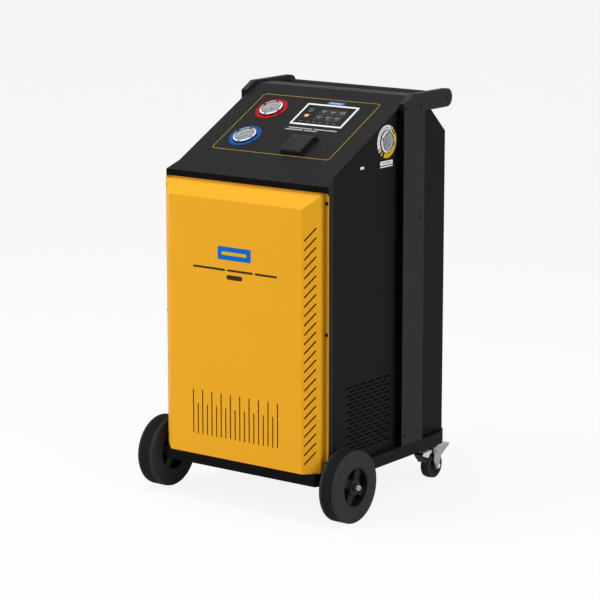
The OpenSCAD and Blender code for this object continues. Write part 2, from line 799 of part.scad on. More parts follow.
// Pointer: tapered hand on a hub, with an arbor that turns in the case
module gauge_pointer(d) rotate([0, 0, pointer_rest]) translate([0, 0, dial_z + dial_t + pointer_lift]) {
    cylinder(r = d / 20, h = 2 * pointer_t);
    translate([0, 0, -arbor_len]) cylinder(r = arbor_r, h = arbor_len + pointer_t);
    linear_extrude(pointer_t) polygon([[-d / 8, -d / 50], [0.3 * d, -0.4], [0.3 * d, 0.4], [-d / 8, d / 50]]);
}
module low_pointer() placed() color("#b01818") on_low() gauge_pointer(panel_gauge_d);
module high_pointer() placed() color("#b01818") on_high() gauge_pointer(panel_gauge_d);
module side_pointer() placed() color("#b01818") on_side_gauge() gauge_pointer(side_gauge_d);

// Thin trim ring round a gauge
module trim_ring(d, gauge_d) translate([0, 0, ring_lift]) difference() {
    cylinder(d = d, h = ring_t);
    translate([0, 0, -cut]) cylinder(d = gauge_d + 2 * seat_gap, h = ring_t + 2 * cut);
}
module low_ring() placed() color("#145fae") on_low() trim_ring(panel_ring_d, panel_gauge_d);
module high_ring() placed() color("#c81419") on_high() trim_ring(panel_ring_d, panel_gauge_d);
module side_ring() placed() color("#e6b414") on_side_gauge() trim_ring(side_ring_d, side_gauge_d);

// Memory card reader behind the right panel, with its mouth flush with the sheet
card_slot_w = 26;
card_slot_h = 4;
card_deep = 30;
card_mouth = 1.6;
card_mouth_w = card_slot_w - 3;
module on_card() on_side(y_f + card_y, z_top - card_drop) children();
module card_reader() placed() color(black) on_card() difference() {
    union() {
        translate([0, 0, -sheet - card_deep / 2])
            cube([card_slot_w + 2 * card_slot_h, 3 * card_slot_h, card_deep], center = true);
        translate([0, 0, -sheet / 2]) cube([card_slot_w, card_slot_h, sheet], center = true);
    }
    cube([card_mouth_w, card_mouth, 1.6 * card_deep], center = true);
}

// Fixed axle with a shoulder inside each wheel and a thinner threaded end
module front_axle() placed() color(steel) translate([0, 0, wheel_r]) rotate([0, 90, 0]) {
    cylinder(r = axle_r, h = 2 * (x_wheel_out + seat_gap), center = true);
    cylinder(r = nut_stub_r, h = 2 * (x_wheel_out + nut_h), center = true);
    for (side = [-1, 1]) translate([0, 0, side * (base_w / 2 + x_wheel_in) / 2])
        cylinder(r = 1.6 * axle_r, h = x_wheel_in - base_w / 2 - 2 * seat_gap, center = true);
}

// Solid rubber tyre with fine grooves round the tread
function tread_points() = [for (i = [0 : groove_count - 1]) let (
    step = (wheel_w - 2 * tyre_round) / (groove_count + 1), a = tyre_round + (i + 1) * step)
    each [[wheel_r, a - groove_w / 2], [wheel_r - groove_deep, a - groove_w / 2],
        [wheel_r - groove_deep, a + groove_w / 2], [wheel_r, a + groove_w / 2]]];
function tyre_corner(from, z) = [for (a = [from : 30 : from + 90])
    [wheel_r - tyre_round + tyre_round * cos(a), z + tyre_round * sin(a)]];
module tyre() rotate_extrude($fn = 96) polygon(concat([[rim_d / 2, 0]], tyre_corner(-90, tyre_round),
    tread_points(), tyre_corner(0, wheel_w - tyre_round), [[rim_d / 2, wheel_w]]));
module tyre_left() placed() color(rubber) on_wheel(-1) tyre();
module tyre_right() placed() color(rubber) on_wheel(1) tyre();

// Dished rim with spokes on both sides of its web and a hub that is sunk at the outer end
module rim() let (r = rim_d / 2 - run_gap, bore = r - rim_wall, mid = (wheel_w - rim_web) / 2) difference() {
    union() {
        rotate_extrude() polygon([[0, 0], [hub_r, 0], [hub_r, mid], [bore, mid], [bore, rim_sink],
            [r, rim_sink], [r, wheel_w - rim_sink], [bore, wheel_w - rim_sink], [bore, mid + rim_web],
            [hub_r, mid + rim_web], [hub_r, wheel_w - hub_sink], [hub_boss_r, wheel_w - hub_sink],
            [hub_boss_r, wheel_w], [0, wheel_w]]);
        for (i = [0 : spoke_count - 1]) rotate([0, 0, spoke_turn + 360 * i / spoke_count])
            translate([hub_r - spoke_bite, -spoke_w / 2, spoke_sink])
                cube([bore + cut - hub_r + spoke_bite, spoke_w, wheel_w - 2 * spoke_sink]);
    }
    translate([0, 0, -cut]) cylinder(r = axle_r + run_gap, h = wheel_w + 2 * cut);
}
module rim_left() placed() color(black) on_wheel(-1) rim();
module rim_right() placed() color(black) on_wheel(1) rim();

// Lock nuts on the axle's ends
module axle_nut() difference() {
    union() {
        hex(nut_af, nut_h);
        translate([0, 0, nut_h - nut_ring_h]) cylinder(r = nut_ring_r, h = 2 * nut_ring_h);
    }
    translate([0, 0, -cut]) cylinder(r = nut_stub_r + run_gap, h = nut_h + nut_ring_h + 2 * cut);
}
module axle_nuts() placed() color(zinc) for (side = [-1, 1])
    on_wheel(side) translate([0, 0, wheel_w + seat_gap]) axle_nut();

// Swivel stem: bearing cap against the tray, pin down through the crown, nut inside the cross tube
stem_head_h = 3;
stem_nut_h = 8;
stem_low = crown_z - fork_t - stem_head_h;
stem_top = base_z + tube_wall + stem_nut_h + 2;
module caster_stem() {
    translate([0, 0, crown_z]) cylinder(r = cap_r, h = cap_h);
    translate([0, 0, stem_low]) cylinder(r = stem_r, h = stem_top - stem_low);
    translate([0, 0, stem_low - seat_gap]) cylinder(r = 1.6 * stem_r, h = stem_head_h);
}
module stem_nut() translate([0, 0, base_z + tube_wall]) difference() {
    hex(3 * stem_r, stem_nut_h);
    translate([0, 0, -cut]) cylinder(r = stem_r + run_gap, h = stem_nut_h + 2 * cut);
}
module caster_stems() placed() color(zinc) for (side = [-1, 1]) on_caster(side) {
    caster_stem();
    stem_nut();
}

// Fork: slanted side plates with an eye at the axle, a crown, and two flanges folded in at the front
module fork_side() {
    polygon([[-fork_len / 2, crown_z], [-fork_len / 2, caster_axle_z + fork_front],
        [-caster_trail - fork_eye_r, caster_axle_z], [-caster_trail + fork_eye_r, caster_axle_z],
        [-caster_trail + fork_eye_r + fork_waist[0], caster_axle_z + fork_waist[1]],
        [fork_len / 2, crown_z - fork_tip], [fork_len / 2, crown_z]]);
    translate([-caster_trail, caster_axle_z]) circle(fork_eye_r);
}
module fork(side) on_caster(side) difference() {
    union() {
        for (x = [-1, 1]) translate([x * (fork_hw - fork_t / 2), 0, 0]) along_x(fork_t) fork_side();
        translate([-fork_hw, -fork_len / 2, crown_z - fork_t]) cube([2 * fork_hw, fork_len, fork_t]);
        for (x = [-1, 1]) translate([x * (fork_hw - (fork_t + fork_flange[0]) / 2), -fork_len / 2, 0])
            translate([-(fork_t + fork_flange[0]) / 2, 0, crown_z - fork_flange[2]])
                cube([fork_t + fork_flange[0], fork_flange[1], fork_flange[2] - fork_t / 2]);
    }
    cylinder(r = stem_r + run_gap, h = base_z);
    translate([0, -caster_trail, caster_axle_z]) rotate([0, 90, 0])
        cylinder(r = caster_axle_r + run_gap, h = 3 * fork_hw, center = true);
    translate([0, pedal_y, pedal_z]) rotate([0, 90, 0])
        cylinder(r = pedal_pin_r + run_gap, h = 3 * fork_hw, center = true);
}
module fork_left() placed() color(zinc) fork(-1);
module fork_right() placed() color(zinc) fork(1);

// Axle bolt of a caster with its head and nut
module caster_axle(side) on_caster(side) translate([0, -caster_trail, caster_axle_z]) rotate([0, 90, 0]) {
    cylinder(r = caster_axle_r, h = 2 * fork_hw + bolt_head_h, center = true);
    translate([0, 0, fork_hw + run_gap]) hex(bolt_af, bolt_head_h);
    translate([0, 0, -fork_hw - run_gap - bolt_head_h]) hex(bolt_af, bolt_head_h);
}
module caster_axle_left() placed() color(zinc) caster_axle(-1);
module caster_axle_right() placed() color(zinc) caster_axle(1);

// Moulded caster wheel with a crowned tread and a long hub
module caster_wheel(side) on_caster(side) translate([0, -caster_trail, caster_axle_z]) rotate([0, 90, 0])
    difference() {
        rotate_extrude() {
            translate([0, -fork_gap / 2 + seat_gap]) square([caster_hub_r, fork_gap - 2 * seat_gap]);
            translate([0, -caster_w / 4]) square([caster_r - caster_tread / 2, caster_w / 2]);
            intersection() {
                translate([caster_r - caster_tread, -caster_w / 2]) square([caster_tread, caster_w]);
                translate([caster_r - 2 * caster_w, 0]) circle(2 * caster_w, $fn = 96);
            }
        }
        cylinder(r = caster_axle_r + run_gap, h = 2 * fork_gap, center = true);
    }
module caster_wheel_left() placed() color(rubber) caster_wheel(-1);
module caster_wheel_right() placed() color(rubber) caster_wheel(1);

// Brake pedal: hood and shoe in front of the wheel, a neck between the fork's flanges, a pin through the fork
module pedal_hood_outline() translate([pedal_y, pedal_z])
    polygon([[-pedal_hood, pedal_boss_r], [-30, 4], [-54, 2], [-58, -3], [-50, -14], [-34, -31],
        [-31, -28], [-26, -14], [-20, -6], [-pedal_hood, -pedal_boss_r]]);
module pedal_neck_outline() translate([pedal_y, pedal_z]) {
    translate([-pedal_neck[1], -pedal_boss_r + cut / 2]) square([pedal_neck[1], 2 * pedal_boss_r - cut]);
    circle(pedal_boss_r);
}
module pedal(side) on_caster(side) {
    along_x(pedal_w) pedal_hood_outline();
    along_x(pedal_neck[0]) pedal_neck_outline();
    translate([0, pedal_y, pedal_z]) rotate([0, 90, 0])
        cylinder(r = pedal_pin_r, h = 2 * fork_hw, center = true);
}
module pedal_left() placed() color(black) pedal(-1);
module pedal_right() placed() color(black) pedal(1);

// Mains inlet and switch in one moulding
inlet_w = 46;
inlet_h = 58;
inlet_x = 150;
inlet_z = z0 + 113;
inlet_flange = 3;
inlet_deep = 30;
inlet_bay_y = -14;
rocker_y = 16;
rocker_w = 26;
rocker_h = 14;
rocker_axis_z = -1;
rocker_tilt = 8;
inlet_lip = 4;
inlet_bay = [25, 17];
inlet_floor = 3;
rocker_well = 12;
blade_size = [2, 4];
blade_len = 20;
blade_places = [[-7, -2], [7, -2], [0, 2]];
module on_inlet() on_rear(inlet_x, inlet_z) children();
module mains_inlet() placed() color(black) on_inlet() {
    difference() {
        union() {
            linear_extrude(inlet_flange) round_rect(inlet_w + 2 * inlet_lip, inlet_h + 2 * inlet_lip, 3);
            translate([0, 0, -inlet_deep / 2]) cube([inlet_w, inlet_h, inlet_deep], center = true);
        }
        translate([0, inlet_bay_y, inlet_floor - inlet_deep]) linear_extrude(2 * inlet_deep)
            square(inlet_bay, center = true);
        translate([0, rocker_y, 0]) cube([rocker_w, rocker_h, 2 * rocker_well], center = true);
        translate([0, rocker_y, rocker_axis_z]) rotate([0, 90, 0])
            cylinder(r = lid_pin_r + run_gap, h = rocker_w + 2 * inlet_lip, center = true);
    }
    translate([0, inlet_bay_y, inlet_floor - inlet_deep - cut]) for (p = blade_places)
        translate(p) linear_extrude(blade_len) square(blade_size, center = true);
}
module rocker() placed() color("#202020") on_inlet()
    translate([0, rocker_y, rocker_axis_z]) rotate([-rocker_tilt, 0, 0]) {
        along_x(rocker_w - 2 * seat_gap) polygon([[-5.6, -4], [5.6, -4], [6, 6], [0, 3.5], [-6, 6]]);
        rotate([0, 90, 0]) cylinder(r = lid_pin_r, h = rocker_w + inlet_lip, center = true);
    }

// Bulkhead hose unions: hexagon and stub outside, tail and nut inside
union_tail_r = 6;
union_z = z0 + 113;
low_union_x = -60;
high_union_x = -120;
union_hex_af = 19;
union_hex_h = 8;
union_tail = 30;
union_bore_r = 2.5;
union_nut_h = 5;
module hose_union(x) on_rear(x, union_z) {
    difference() {
        union() {
            hex(union_hex_af, union_hex_h);
            cylinder(d = union_d, h = union_hex_h + union_len);
            translate([0, 0, -union_tail]) cylinder(r = union_tail_r, h = union_tail + cut);
        }
        translate([0, 0, -union_tail - cut]) cylinder(r = union_bore_r, h = union_tail + 2 * union_len);
    }
    translate([0, 0, -sheet - union_nut_h]) difference() {
        hex(union_hex_af, union_nut_h);
        translate([0, 0, -cut]) cylinder(r = union_tail_r + run_gap, h = union_nut_h + 2 * cut);
    }
}
module low_union() placed() color("#b59a4c") hose_union(low_union_x);
module high_union() placed() color("#b59a4c") hose_union(high_union_x);

// Guard over the fan: flat rings on radial bars, standing off the rear cover on four feet
guard_t = 2.5;
guard_gap = 5;
guard_ring_w = 3.5;
guard_rings = 6;
guard_bars = 8;
guard_foot = 14;
guard_bar_w = 3;
module fan_guard() placed() color(grey_black) on_rear(0, fan_z) {
    outer = fan_r + 6;
    step = (fan_r - 8) / guard_rings;
    translate([0, 0, guard_gap]) {
        for (i = [0 : guard_rings - 1]) rotate_extrude() translate([outer - i * step - guard_ring_w, 0])
            square([guard_ring_w, guard_t]);
        cylinder(r = outer - guard_rings * step, h = guard_t);
        for (a = [0 : 360 / guard_bars : 359]) rotate([0, 0, a]) translate([0, -guard_bar_w / 2, 0])
            cube([outer - 1, guard_bar_w, guard_t]);
    }
    for (a = [45 : 90 : 315]) rotate([0, 0, a]) translate([outer - guard_bar_w, -guard_foot / 2, 0])
        cube([guard_foot, guard_foot, guard_gap + guard_t]);
}

// Shaded-pole motor on a square plate with a short duct and three struts
fan_plate = 206;
fan_plate_t = 3;
duct_len = 44;
duct_wall = 2;
fan_motor_r = 22;
fan_motor_len = 36;
fan_strut_t = 4;
fan_strut_w = 8;
fan_shaft_sink = 10;
module fan_motor() placed() color(steel) on_rear(0, fan_z) translate([0, 0, -sheet]) {
    translate([0, 0, -fan_plate_t]) linear_extrude(fan_plate_t) difference() {
        square(fan_plate, center = true);
        circle(fan_r + duct_wall / 2);
    }
    translate([0, 0, -duct_len]) linear_extrude(duct_len - fan_plate_t / 2) difference() {
        circle(fan_r + duct_wall);
        circle(fan_r);
    }
    for (a = [90, 210, 330]) rotate([0, 0, a]) translate([0, -fan_strut_w / 2, fan_strut_t / 2 - duct_len])
        cube([fan_r + duct_wall / 2, fan_strut_w, fan_strut_t]);
    translate([0, 0, 2 * fan_strut_t - duct_len - fan_motor_len]) cylinder(r = fan_motor_r, h = fan_motor_len);
    translate([0, 0, -duct_len]) cylinder(r = fan_shaft_r, h = duct_len - fan_shaft_sink);
}

// Five pitched blades on a hub that turns on the motor's shaft
fan_blade_count = 5;
fan_blade_w = 30;
fan_blade_t = 2;
fan_blade_pitch = 32;
fan_hub_h = 22;
fan_hub_shift = 2;
module fan_blade() translate([fan_hub_r - 3, 0, 0]) rotate([fan_blade_pitch, 0, 0])
    translate([0, -fan_blade_w / 2, -fan_blade_t / 2]) cube([fan_r, fan_blade_w, fan_blade_t]);
module fan_blades() placed() color("#26282a") on_rear(0, fan_z)
    translate([0, 0, -sheet - duct_len / 2 + fan_hub_shift]) difference() {
        union() {
            cylinder(r = fan_hub_r, h = fan_hub_h, center = true);
            intersection() {
                for (i = [0 : fan_blade_count - 1]) rotate([0, 0, i * 360 / fan_blade_count]) fan_blade();
                cylinder(r = fan_r - fan_clear, h = duct_len, center = true);
            }
        }
        cylinder(r = fan_shaft_r + run_gap, h = duct_len, center = true);
    }

// Shelf across the cabinet with folded front and rear lips
shelf_front = 60;
shelf_rear = 60;
module inner_shelf() placed() color(steel) {
    translate([-hw_in, y_f + shelf_front, shelf_z - sheet])
        cube([2 * hw_in, cabinet_d - shelf_front - shelf_rear, sheet]);
    for (y = [y_f + shelf_front, y_r - shelf_rear - sheet])
        translate([-hw_in, y, shelf_z - shelf_lip]) cube([2 * hw_in, sheet, shelf_lip]);
}

// Finned coil with end plates
cond_w = 300;
cond_d = 44;
cond_h = 240;
cond_gap = 96;
cond_plate = 3;
cond_inset = 5;
fin_count = 24;
fin_gap = 6;
fin_deep = 14;
module condenser() placed() color("#8d8f92")
    translate([-cond_w / 2, y_r - sheet - cond_gap - cond_d, shelf_z]) {
        for (x = [0, cond_w - cond_plate]) translate([x, 0, 0]) cube([cond_plate, cond_d, cond_h]);
        difference() {
            translate([0, cond_inset, cond_inset])
                cube([cond_w, cond_d - 2 * cond_inset, cond_h - 2 * cond_inset]);
            for (i = [1 : fin_count - 1], y = [-cut, cond_d - fin_deep])
                translate([i * cond_w / fin_count - fin_gap / 2, y, 0])
                    cube([fin_gap, fin_deep + cut, cond_h]);
        }
    }

// Hermetic compressor: thick can on a foot plate with suction and discharge pipes
inner_margin = 12;
rear_room = 76;
comp_r = 72;
comp_h = 200;
comp_wall = 8;
comp_round = 34;
foot_t = 6;
pipe_r = 6;
pipe_bore_r = 3.5;
comp_foot = 12;
comp_back = 190;
comp_y = y_f + comp_back;
comp_pipes = [[0, 150], [-30, 60]];
pipe_len = 44;
module compressor() placed() color("#202326")
    translate([hw_in - inner_margin - comp_r - comp_foot, comp_y, z0]) difference() {
        union() {
            translate([-comp_r - comp_foot, -comp_r, 0]) cube([2 * (comp_r + comp_foot), 2 * comp_r, foot_t]);
            translate([0, 0, foot_t - cut]) round_can(comp_r, comp_h, comp_round);
            compressor_pipes(pipe_r);
        }
        translate([0, 0, foot_t - cut + comp_wall])
            round_can(comp_r - comp_wall, comp_h - 2 * comp_wall, comp_round - comp_wall);
        translate([0, cut, 0]) compressor_pipes(pipe_bore_r);
    }
module compressor_pipes(r) for (p = comp_pipes)
    translate([p[0], comp_r - pipe_len / 2, p[1]]) rotate([-90, 0, 0]) cylinder(r = r, h = pipe_len);

// Vacuum pump: motor and oil case on one foot
pump_w = 190;
pump_d = 110;
pump_motor_r = 55;
pump_case_h = 120;
pump_inset = 5;
pump_filter_h = 35;
pump_y = y_r - rear_room - pump_d / 2;
module vacuum_pump() placed() color("#5b6068")
    translate([hw_in - inner_margin - pump_w / 2, pump_y, z0]) {
        translate([-pump_w / 2, -pump_d / 2, 0]) cube([pump_w, pump_d, foot_t]);
        translate([-pump_w / 2 + pump_inset, 0, foot_t + pump_motor_r - cut]) rotate([0, 90, 0])
            cylinder(r = pump_motor_r, h = pump_w / 2 + pump_inset);
        translate([pump_inset, -pump_d / 2 + pump_inset, foot_t - cut])
            cube([pump_w / 2 - 2 * pump_inset, pump_d - 2 * pump_inset, pump_case_h]);
        translate([pump_w / 4, 0, pump_case_h]) cylinder(r = 2 * pipe_r, h = pump_filter_h);
    }

// Two plates with a load cell between them
scale_w = 250;
scale_plate = 4;
scale_cell = [130, 30];
scale_x = -hw_in + inner_margin + scale_w / 2;
scale_y = y_r - rear_room - scale_w / 2;
module scale_platform() placed() color("#b4b6b8") translate([scale_x, scale_y, z0]) {
    for (z = [0, scale_h - scale_plate]) translate([-scale_w / 2, -scale_w / 2, z])
        cube([scale_w, scale_w, scale_plate]);
    translate([-scale_cell[0] / 2, -scale_cell[1] / 2, scale_plate - cut])
        cube([scale_cell[0], scale_cell[1], scale_h - 2 * scale_plate + 2 * cut]);
}

// Refillable cylinder: steel shell on a foot ring with two valves on top
tank_r = 118;
tank_h = 350;
tank_round = 50;
tank_wall = 3;
tank_lift = 6;
tank_ring_r = 95;
valve_r = 9;
valve_h = 32;
valve_x = 25;
module storage_tank() placed() color("#6f7478") translate([scale_x, scale_y, z0 + scale_h]) difference() {
    union() {
        linear_extrude(5 * tank_lift) difference() {
            circle(tank_ring_r);
            circle(tank_ring_r - tank_wall);
        }
        translate([0, 0, tank_lift]) round_can(tank_r, tank_h, tank_round);
        for_tank_valves() cylinder(r = valve_r, h = valve_h);
    }
    translate([0, 0, tank_lift + tank_wall])
        round_can(tank_r - tank_wall, tank_h - 2 * tank_wall, tank_round - tank_wall);
    for_tank_valves() translate([0, 0, -2 * tank_wall]) cylinder(r = pipe_bore_r, h = valve_h + 3 * tank_wall);
}
module for_tank_valves() for (side = [-1, 1])
    translate([side * valve_x, 0, tank_h + tank_lift - cut]) children();

// Filter drier on a bracket plate
drier_r = 38;
drier_h = 200;
drier_z = 30;
drier_round = 16;
drier_back = 130;
drier_y = y_f + drier_back;
module filter_drier() placed() color("#32577f") translate([-hw_in + inner_margin + drier_r, drier_y, z0]) {
    translate([-drier_r, -drier_r, 0]) cube([2 * drier_r, 2 * drier_r, foot_t]);
    cylinder(r = 2 * pipe_r, h = drier_z + drier_round);
    translate([0, 0, drier_z]) round_can(drier_r, drier_h, drier_round);
    translate([0, 0, drier_z + drier_h - cut]) cylinder(r = pipe_r, h = pipe_len / 2);
}

// Block of solenoid valves on the shelf
shelf_row_back = 190;
shelf_row_y = y_f + shelf_row_back;
valve_count = 5;
valve_pitch = 36;
coil_r = 14;
coil_h = 46;
manifold = [180, 60, 40];
module valve_manifold() placed() color("#a9adb2")
    translate([-hw_in + inner_margin + manifold[0] / 2, shelf_row_y, shelf_z]) {
        translate([-manifold[0] / 2, -manifold[1] / 2, 0]) cube(manifold);
        for (i = [0 : valve_count - 1])
            translate([(i - (valve_count - 1) / 2) * valve_pitch, 0, manifold[2] - cut])
                cylinder(r = coil_r, h = coil_h);
    }

// Circuit board on four pillars with its larger parts
board = [190, 130, 2];
pillar_h = 12;
pillar_r = 4;
pillar_inset = 10;
chip = [36, 36, 5];
terminal = [14, 18, 14];
terminal_pitch = 18;
terminal_count = 8;
module control_board() placed() color("#1f5c38")
    translate([hw_in - inner_margin - board[0] / 2, shelf_row_y, shelf_z]) {
        for (x = [-1, 1], y = [-1, 1])
            translate([x * (board[0] / 2 - pillar_inset), y * (board[1] / 2 - pillar_inset), 0])
                cylinder(r = pillar_r, h = pillar_h + cut);
        translate([-board[0] / 2, -board[1] / 2, pillar_h]) cube(board);
        translate([-chip[0], -chip[1], pillar_h + cut]) cube(chip);
        translate([-terminal_count / 2 * terminal_pitch, board[1] / 2 - 2 * terminal[1], pillar_h + cut])
            for (i = [0 : terminal_count - 1]) translate([i * terminal_pitch, 0, 0]) cube(terminal);
    }

// Slotted metal box of the power supply
supply = [190, 100, 48];
supply_back = 270;
supply_y = y_f + supply_back;
supply_slots = 11;
supply_slot_w = 6;
module power_supply() placed() color("#c0c3c6")
    translate([hw_in - inner_margin - supply[0], supply_y, shelf_z]) difference() {
        cube(supply);
        for (i = [1 : supply_slots])
            translate([i * supply[0] / (supply_slots + 1), supply[1] / 2, supply[2]])
                cube([supply_slot_w, supply[1] * 0.7, supply_slot_w], center = true);
    }

base_tray();
front_frame();
front_cover();
cover_screws();
side_panel_left();
side_panel_right();
rear_cover();
control_panel();
panel_screws();
handle_post_left();
handle_post_right();
handle_bar();
post_screws();
display_bezel();
display_screen();
printer_body();
printer_lid();
paper_roll();
gauge_cases();
gauge_dials();
gauge_lenses();
low_pointer();
high_pointer();
side_pointer();
low_ring();
high_ring();
side_ring();
card_reader();
front_axle();
tyre_left();
tyre_right();
rim_left();
rim_right();
axle_nuts();
caster_stems();
fork_left();
fork_right();
caster_axle_left();
caster_axle_right();
caster_wheel_left();
caster_wheel_right();
pedal_left();
pedal_right();
mains_inlet();
rocker();
low_union();
high_union();
fan_guard();
fan_motor();
fan_blades();
inner_shelf();
condenser();
compressor();
vacuum_pump();
scale_platform();
storage_tank();
filter_drier();
valve_manifold();
control_board();
power_supply();
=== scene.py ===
"""Looks of the refrigerant recovery machine: finishes, prints and fine details around its solids."""

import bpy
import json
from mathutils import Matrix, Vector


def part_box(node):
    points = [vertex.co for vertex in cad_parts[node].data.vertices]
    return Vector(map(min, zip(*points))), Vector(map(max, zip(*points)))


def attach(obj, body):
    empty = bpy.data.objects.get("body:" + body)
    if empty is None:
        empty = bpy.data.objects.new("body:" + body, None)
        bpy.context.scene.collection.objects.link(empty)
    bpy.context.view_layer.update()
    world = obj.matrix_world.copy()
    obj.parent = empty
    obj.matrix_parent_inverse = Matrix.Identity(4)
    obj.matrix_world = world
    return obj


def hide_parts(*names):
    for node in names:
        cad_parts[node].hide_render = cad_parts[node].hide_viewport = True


bl_info = {
    "name": "Refrigerant recovery machine",
    "version": (1, 0, 0),
    "blender": (4, 5, 0),
    "location": "3D View > Sidebar > Machine",
    "description": "Dresses the machine's solids with their finishes, prints and small details",
    "category": "Object",
}

import json
import math

import bmesh
import bpy
from mathutils import Matrix, Vector

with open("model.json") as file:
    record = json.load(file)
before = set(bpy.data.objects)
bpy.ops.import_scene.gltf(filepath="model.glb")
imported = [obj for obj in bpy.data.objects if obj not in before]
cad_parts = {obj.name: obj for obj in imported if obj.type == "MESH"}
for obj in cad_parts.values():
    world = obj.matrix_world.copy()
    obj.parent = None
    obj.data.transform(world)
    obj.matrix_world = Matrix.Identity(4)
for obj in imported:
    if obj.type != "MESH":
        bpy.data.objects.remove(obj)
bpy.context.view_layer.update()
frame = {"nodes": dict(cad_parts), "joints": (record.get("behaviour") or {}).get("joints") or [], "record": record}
NODES = frame["nodes"]
JOINTS = {joint["name"]: joint for joint in frame["joints"]}
BODY_OF = {node: body for body, nodes in frame["record"]["behaviour"]["bodies"].items() for node in nodes}

MM = 0.001
# Distance within which points are merged
WELD = 2e-6
# Thickness of a print
PRINT = 0.12 * MM
# Degrees of an arc in one step
ARC_STEP = 4
# Range in which most values of a noise lie
NOISE_LOW = 0.3
NOISE_HIGH = 0.7
# Strength of every bump
RELIEF = 0.6
SIDES = ("left", "right")
X_AXIS = Vector((1, 0, 0))
Y_AXIS = Vector((0, 1, 0))
Z_AXIS = Vector((0, 0, 1))


def linear(red, green, blue):
    """Linear values of a colour written in 8-bit sRGB."""
    values = (red / 255, green / 255, blue / 255)
    return tuple(c / 12.92 if c <= 0.04045 else ((c + 0.055) / 1.055) ** 2.4 for c in values)


def colour(label, words, red, green, blue):
    """A colour that a user can change, written in 8-bit sRGB."""
    return bpy.props.FloatVectorProperty(
        name=label, description=words, subtype="COLOR", size=3, min=0, max=1,
        default=linear(red, green, blue))


def length(label, words, millimetres):
    """A length that a user can change, written in millimetres."""
    return bpy.props.FloatProperty(name=label, description=words, unit="LENGTH", default=millimetres * MM)


class MachineColours(bpy.types.PropertyGroup):
    """Colours of the machine's finishes."""
    yellow: colour("Cover yellow", "Powder coat of the front cover", 236, 169, 24)
    black: colour("Cabinet black", "Powder coat of the tray, side panels and rear cover", 18, 18, 18)
    charcoal: colour("Panel charcoal", "Powder coat of the control panel and front frame", 27, 27, 27)
    post: colour("Post grey", "Powder coat of the handle posts", 42, 42, 42)
    plastic: colour("Black plastic", "Moulded black parts", 20, 20, 21)
    rim: colour("Rim plastic", "Rims and hub caps of the front wheels", 27, 27, 28)
    lid: colour("Lid plastic", "Lid of the printer", 27, 27, 27)
    white: colour("White plastic", "Display frame and gauge bezels", 238, 238, 236)
    screen: colour("Screen", "Dark glass of the display", 13, 15, 15)
    rubber: colour("Rubber", "Tyres and caster treads", 55, 55, 56)
    zinc: colour("Zinc", "Plated steel of the caster stems, brake plates and nuts", 200, 201, 204)
    fork: colour("Fork zinc", "Plated steel of the caster forks", 150, 151, 153)
    brass: colour("Brass", "Hose unions", 190, 155, 75)
    aluminium: colour("Aluminium", "Inner units", 178, 181, 184)
    badge: colour("Badge blue", "Blank badges", 0, 104, 196)
    blue: colour("Low side blue", "Ring of the low side gauge", 4, 80, 160)
    red: colour("High side red", "Ring of the high side gauge", 178, 8, 10)
    amber: colour("Ring yellow", "Arc round the side gauge", 226, 174, 14)
    gold: colour("Gold line", "Printed outline on the control panel", 176, 146, 36)
    dial: colour("Dial", "Faces of the gauges", 128, 132, 141)
    paper: colour("Paper", "Printer roll", 236, 235, 228)


class MachineSizes(bpy.types.PropertyGroup):
    """Sizes of the edges, prints and fine details."""
    sheet_edge: length("Sheet edge", "Rounding of folded sheet edges", 0.9)
    cover_edge: length("Cover edge", "Rounding of the front cover's folds", 0.5)
    plastic_edge: length("Plastic edge", "Rounding of moulded edges", 0.8)
    fine_edge: length("Fine edge", "Rounding of small parts", 0.3)
    pedal_edge: length("Pedal edge", "Rounding of the brake pedals", 0.22)
    panel_gauge: length("Panel gauge", "Diameter of a panel gauge's bezel", 68)
    panel_ring: length("Panel ring", "Diameter of a panel gauge's coloured ring", 95)
    side_gauge: length("Side gauge", "Diameter of the side gauge's bezel", 62)
    side_ring: length("Side ring", "Diameter of the side gauge's coloured ring", 91)
    bezel: length("Bezel", "Width of a gauge's bezel", 6)
    outline_w: length("Outline width", "Width of the printed outline", 400)
    outline_h: length("Outline height", "Height of the printed outline up the slope", 276)
    outline_s: length("Outline place", "Middle of the printed outline up the slope", 254)
    outline_line: length("Outline line", "Width of the printed line", 1.7)
    badge_w: length("Badge width", "Width of the blank badge on the front cover", 112)
    badge_h: length("Badge height", "Height of the blank badge on the front cover", 36)
    badge_z: length("Badge place", "Height of the badge above the floor", 712)
    vent_y: length("Vent place", "Middle of a side vent along the machine", -65)
    vent_z: length("Vent height", "Middle of a side vent above the floor", 257)
    # Size of the near-black pad behind each side vent, painted shade for the cabinet's dark inside
    vent_w: length("Shade pad width", "Width of the dark shade pad behind a side vent", 230)
    vent_h: length("Shade pad height", "Height of the dark shade pad behind a side vent", 205)


class MachineStage(bpy.types.PropertyGroup):
    """Camera, floor and light."""
    camera: bpy.props.FloatVectorProperty(
        name="Camera", description="Place of the camera", subtype="TRANSLATION", unit="LENGTH",
        default=(4.14025, -5.6018, 1.98401))
    azimuth: bpy.props.FloatProperty(
        name="Azimuth", description="Turn of the view round the machine", subtype="ANGLE",
        default=math.radians(36.58))
    elevation: bpy.props.FloatProperty(
        name="Elevation", description="Height of the view above the horizon", subtype="ANGLE",
        default=math.radians(11.762))
    lens: bpy.props.FloatProperty(
        name="Lens", description="Focal length on a 36 mm sensor", unit="CAMERA", default=152.34)
    floor: colour("Floor", "Pale studio floor", 244, 244, 244)
    sky: bpy.props.FloatProperty(
        name="Sky", description="Strength of the light from all round", default=0.3)


# Frames on the machine
def axes_frame(origin, x_axis, z_axis):
    """Frame with its x and z along the given directions."""
    z = Vector(z_axis).normalized()
    x = Vector(x_axis).normalized()
    made = Matrix((x, z.cross(x), z)).transposed().to_4x4()
    made.translation = origin
    return made


PANEL_UP = -Vector(JOINTS["low_pointer_sweep"]["axis"]).normalized()
PANEL_RISE = PANEL_UP.cross(X_AXIS)


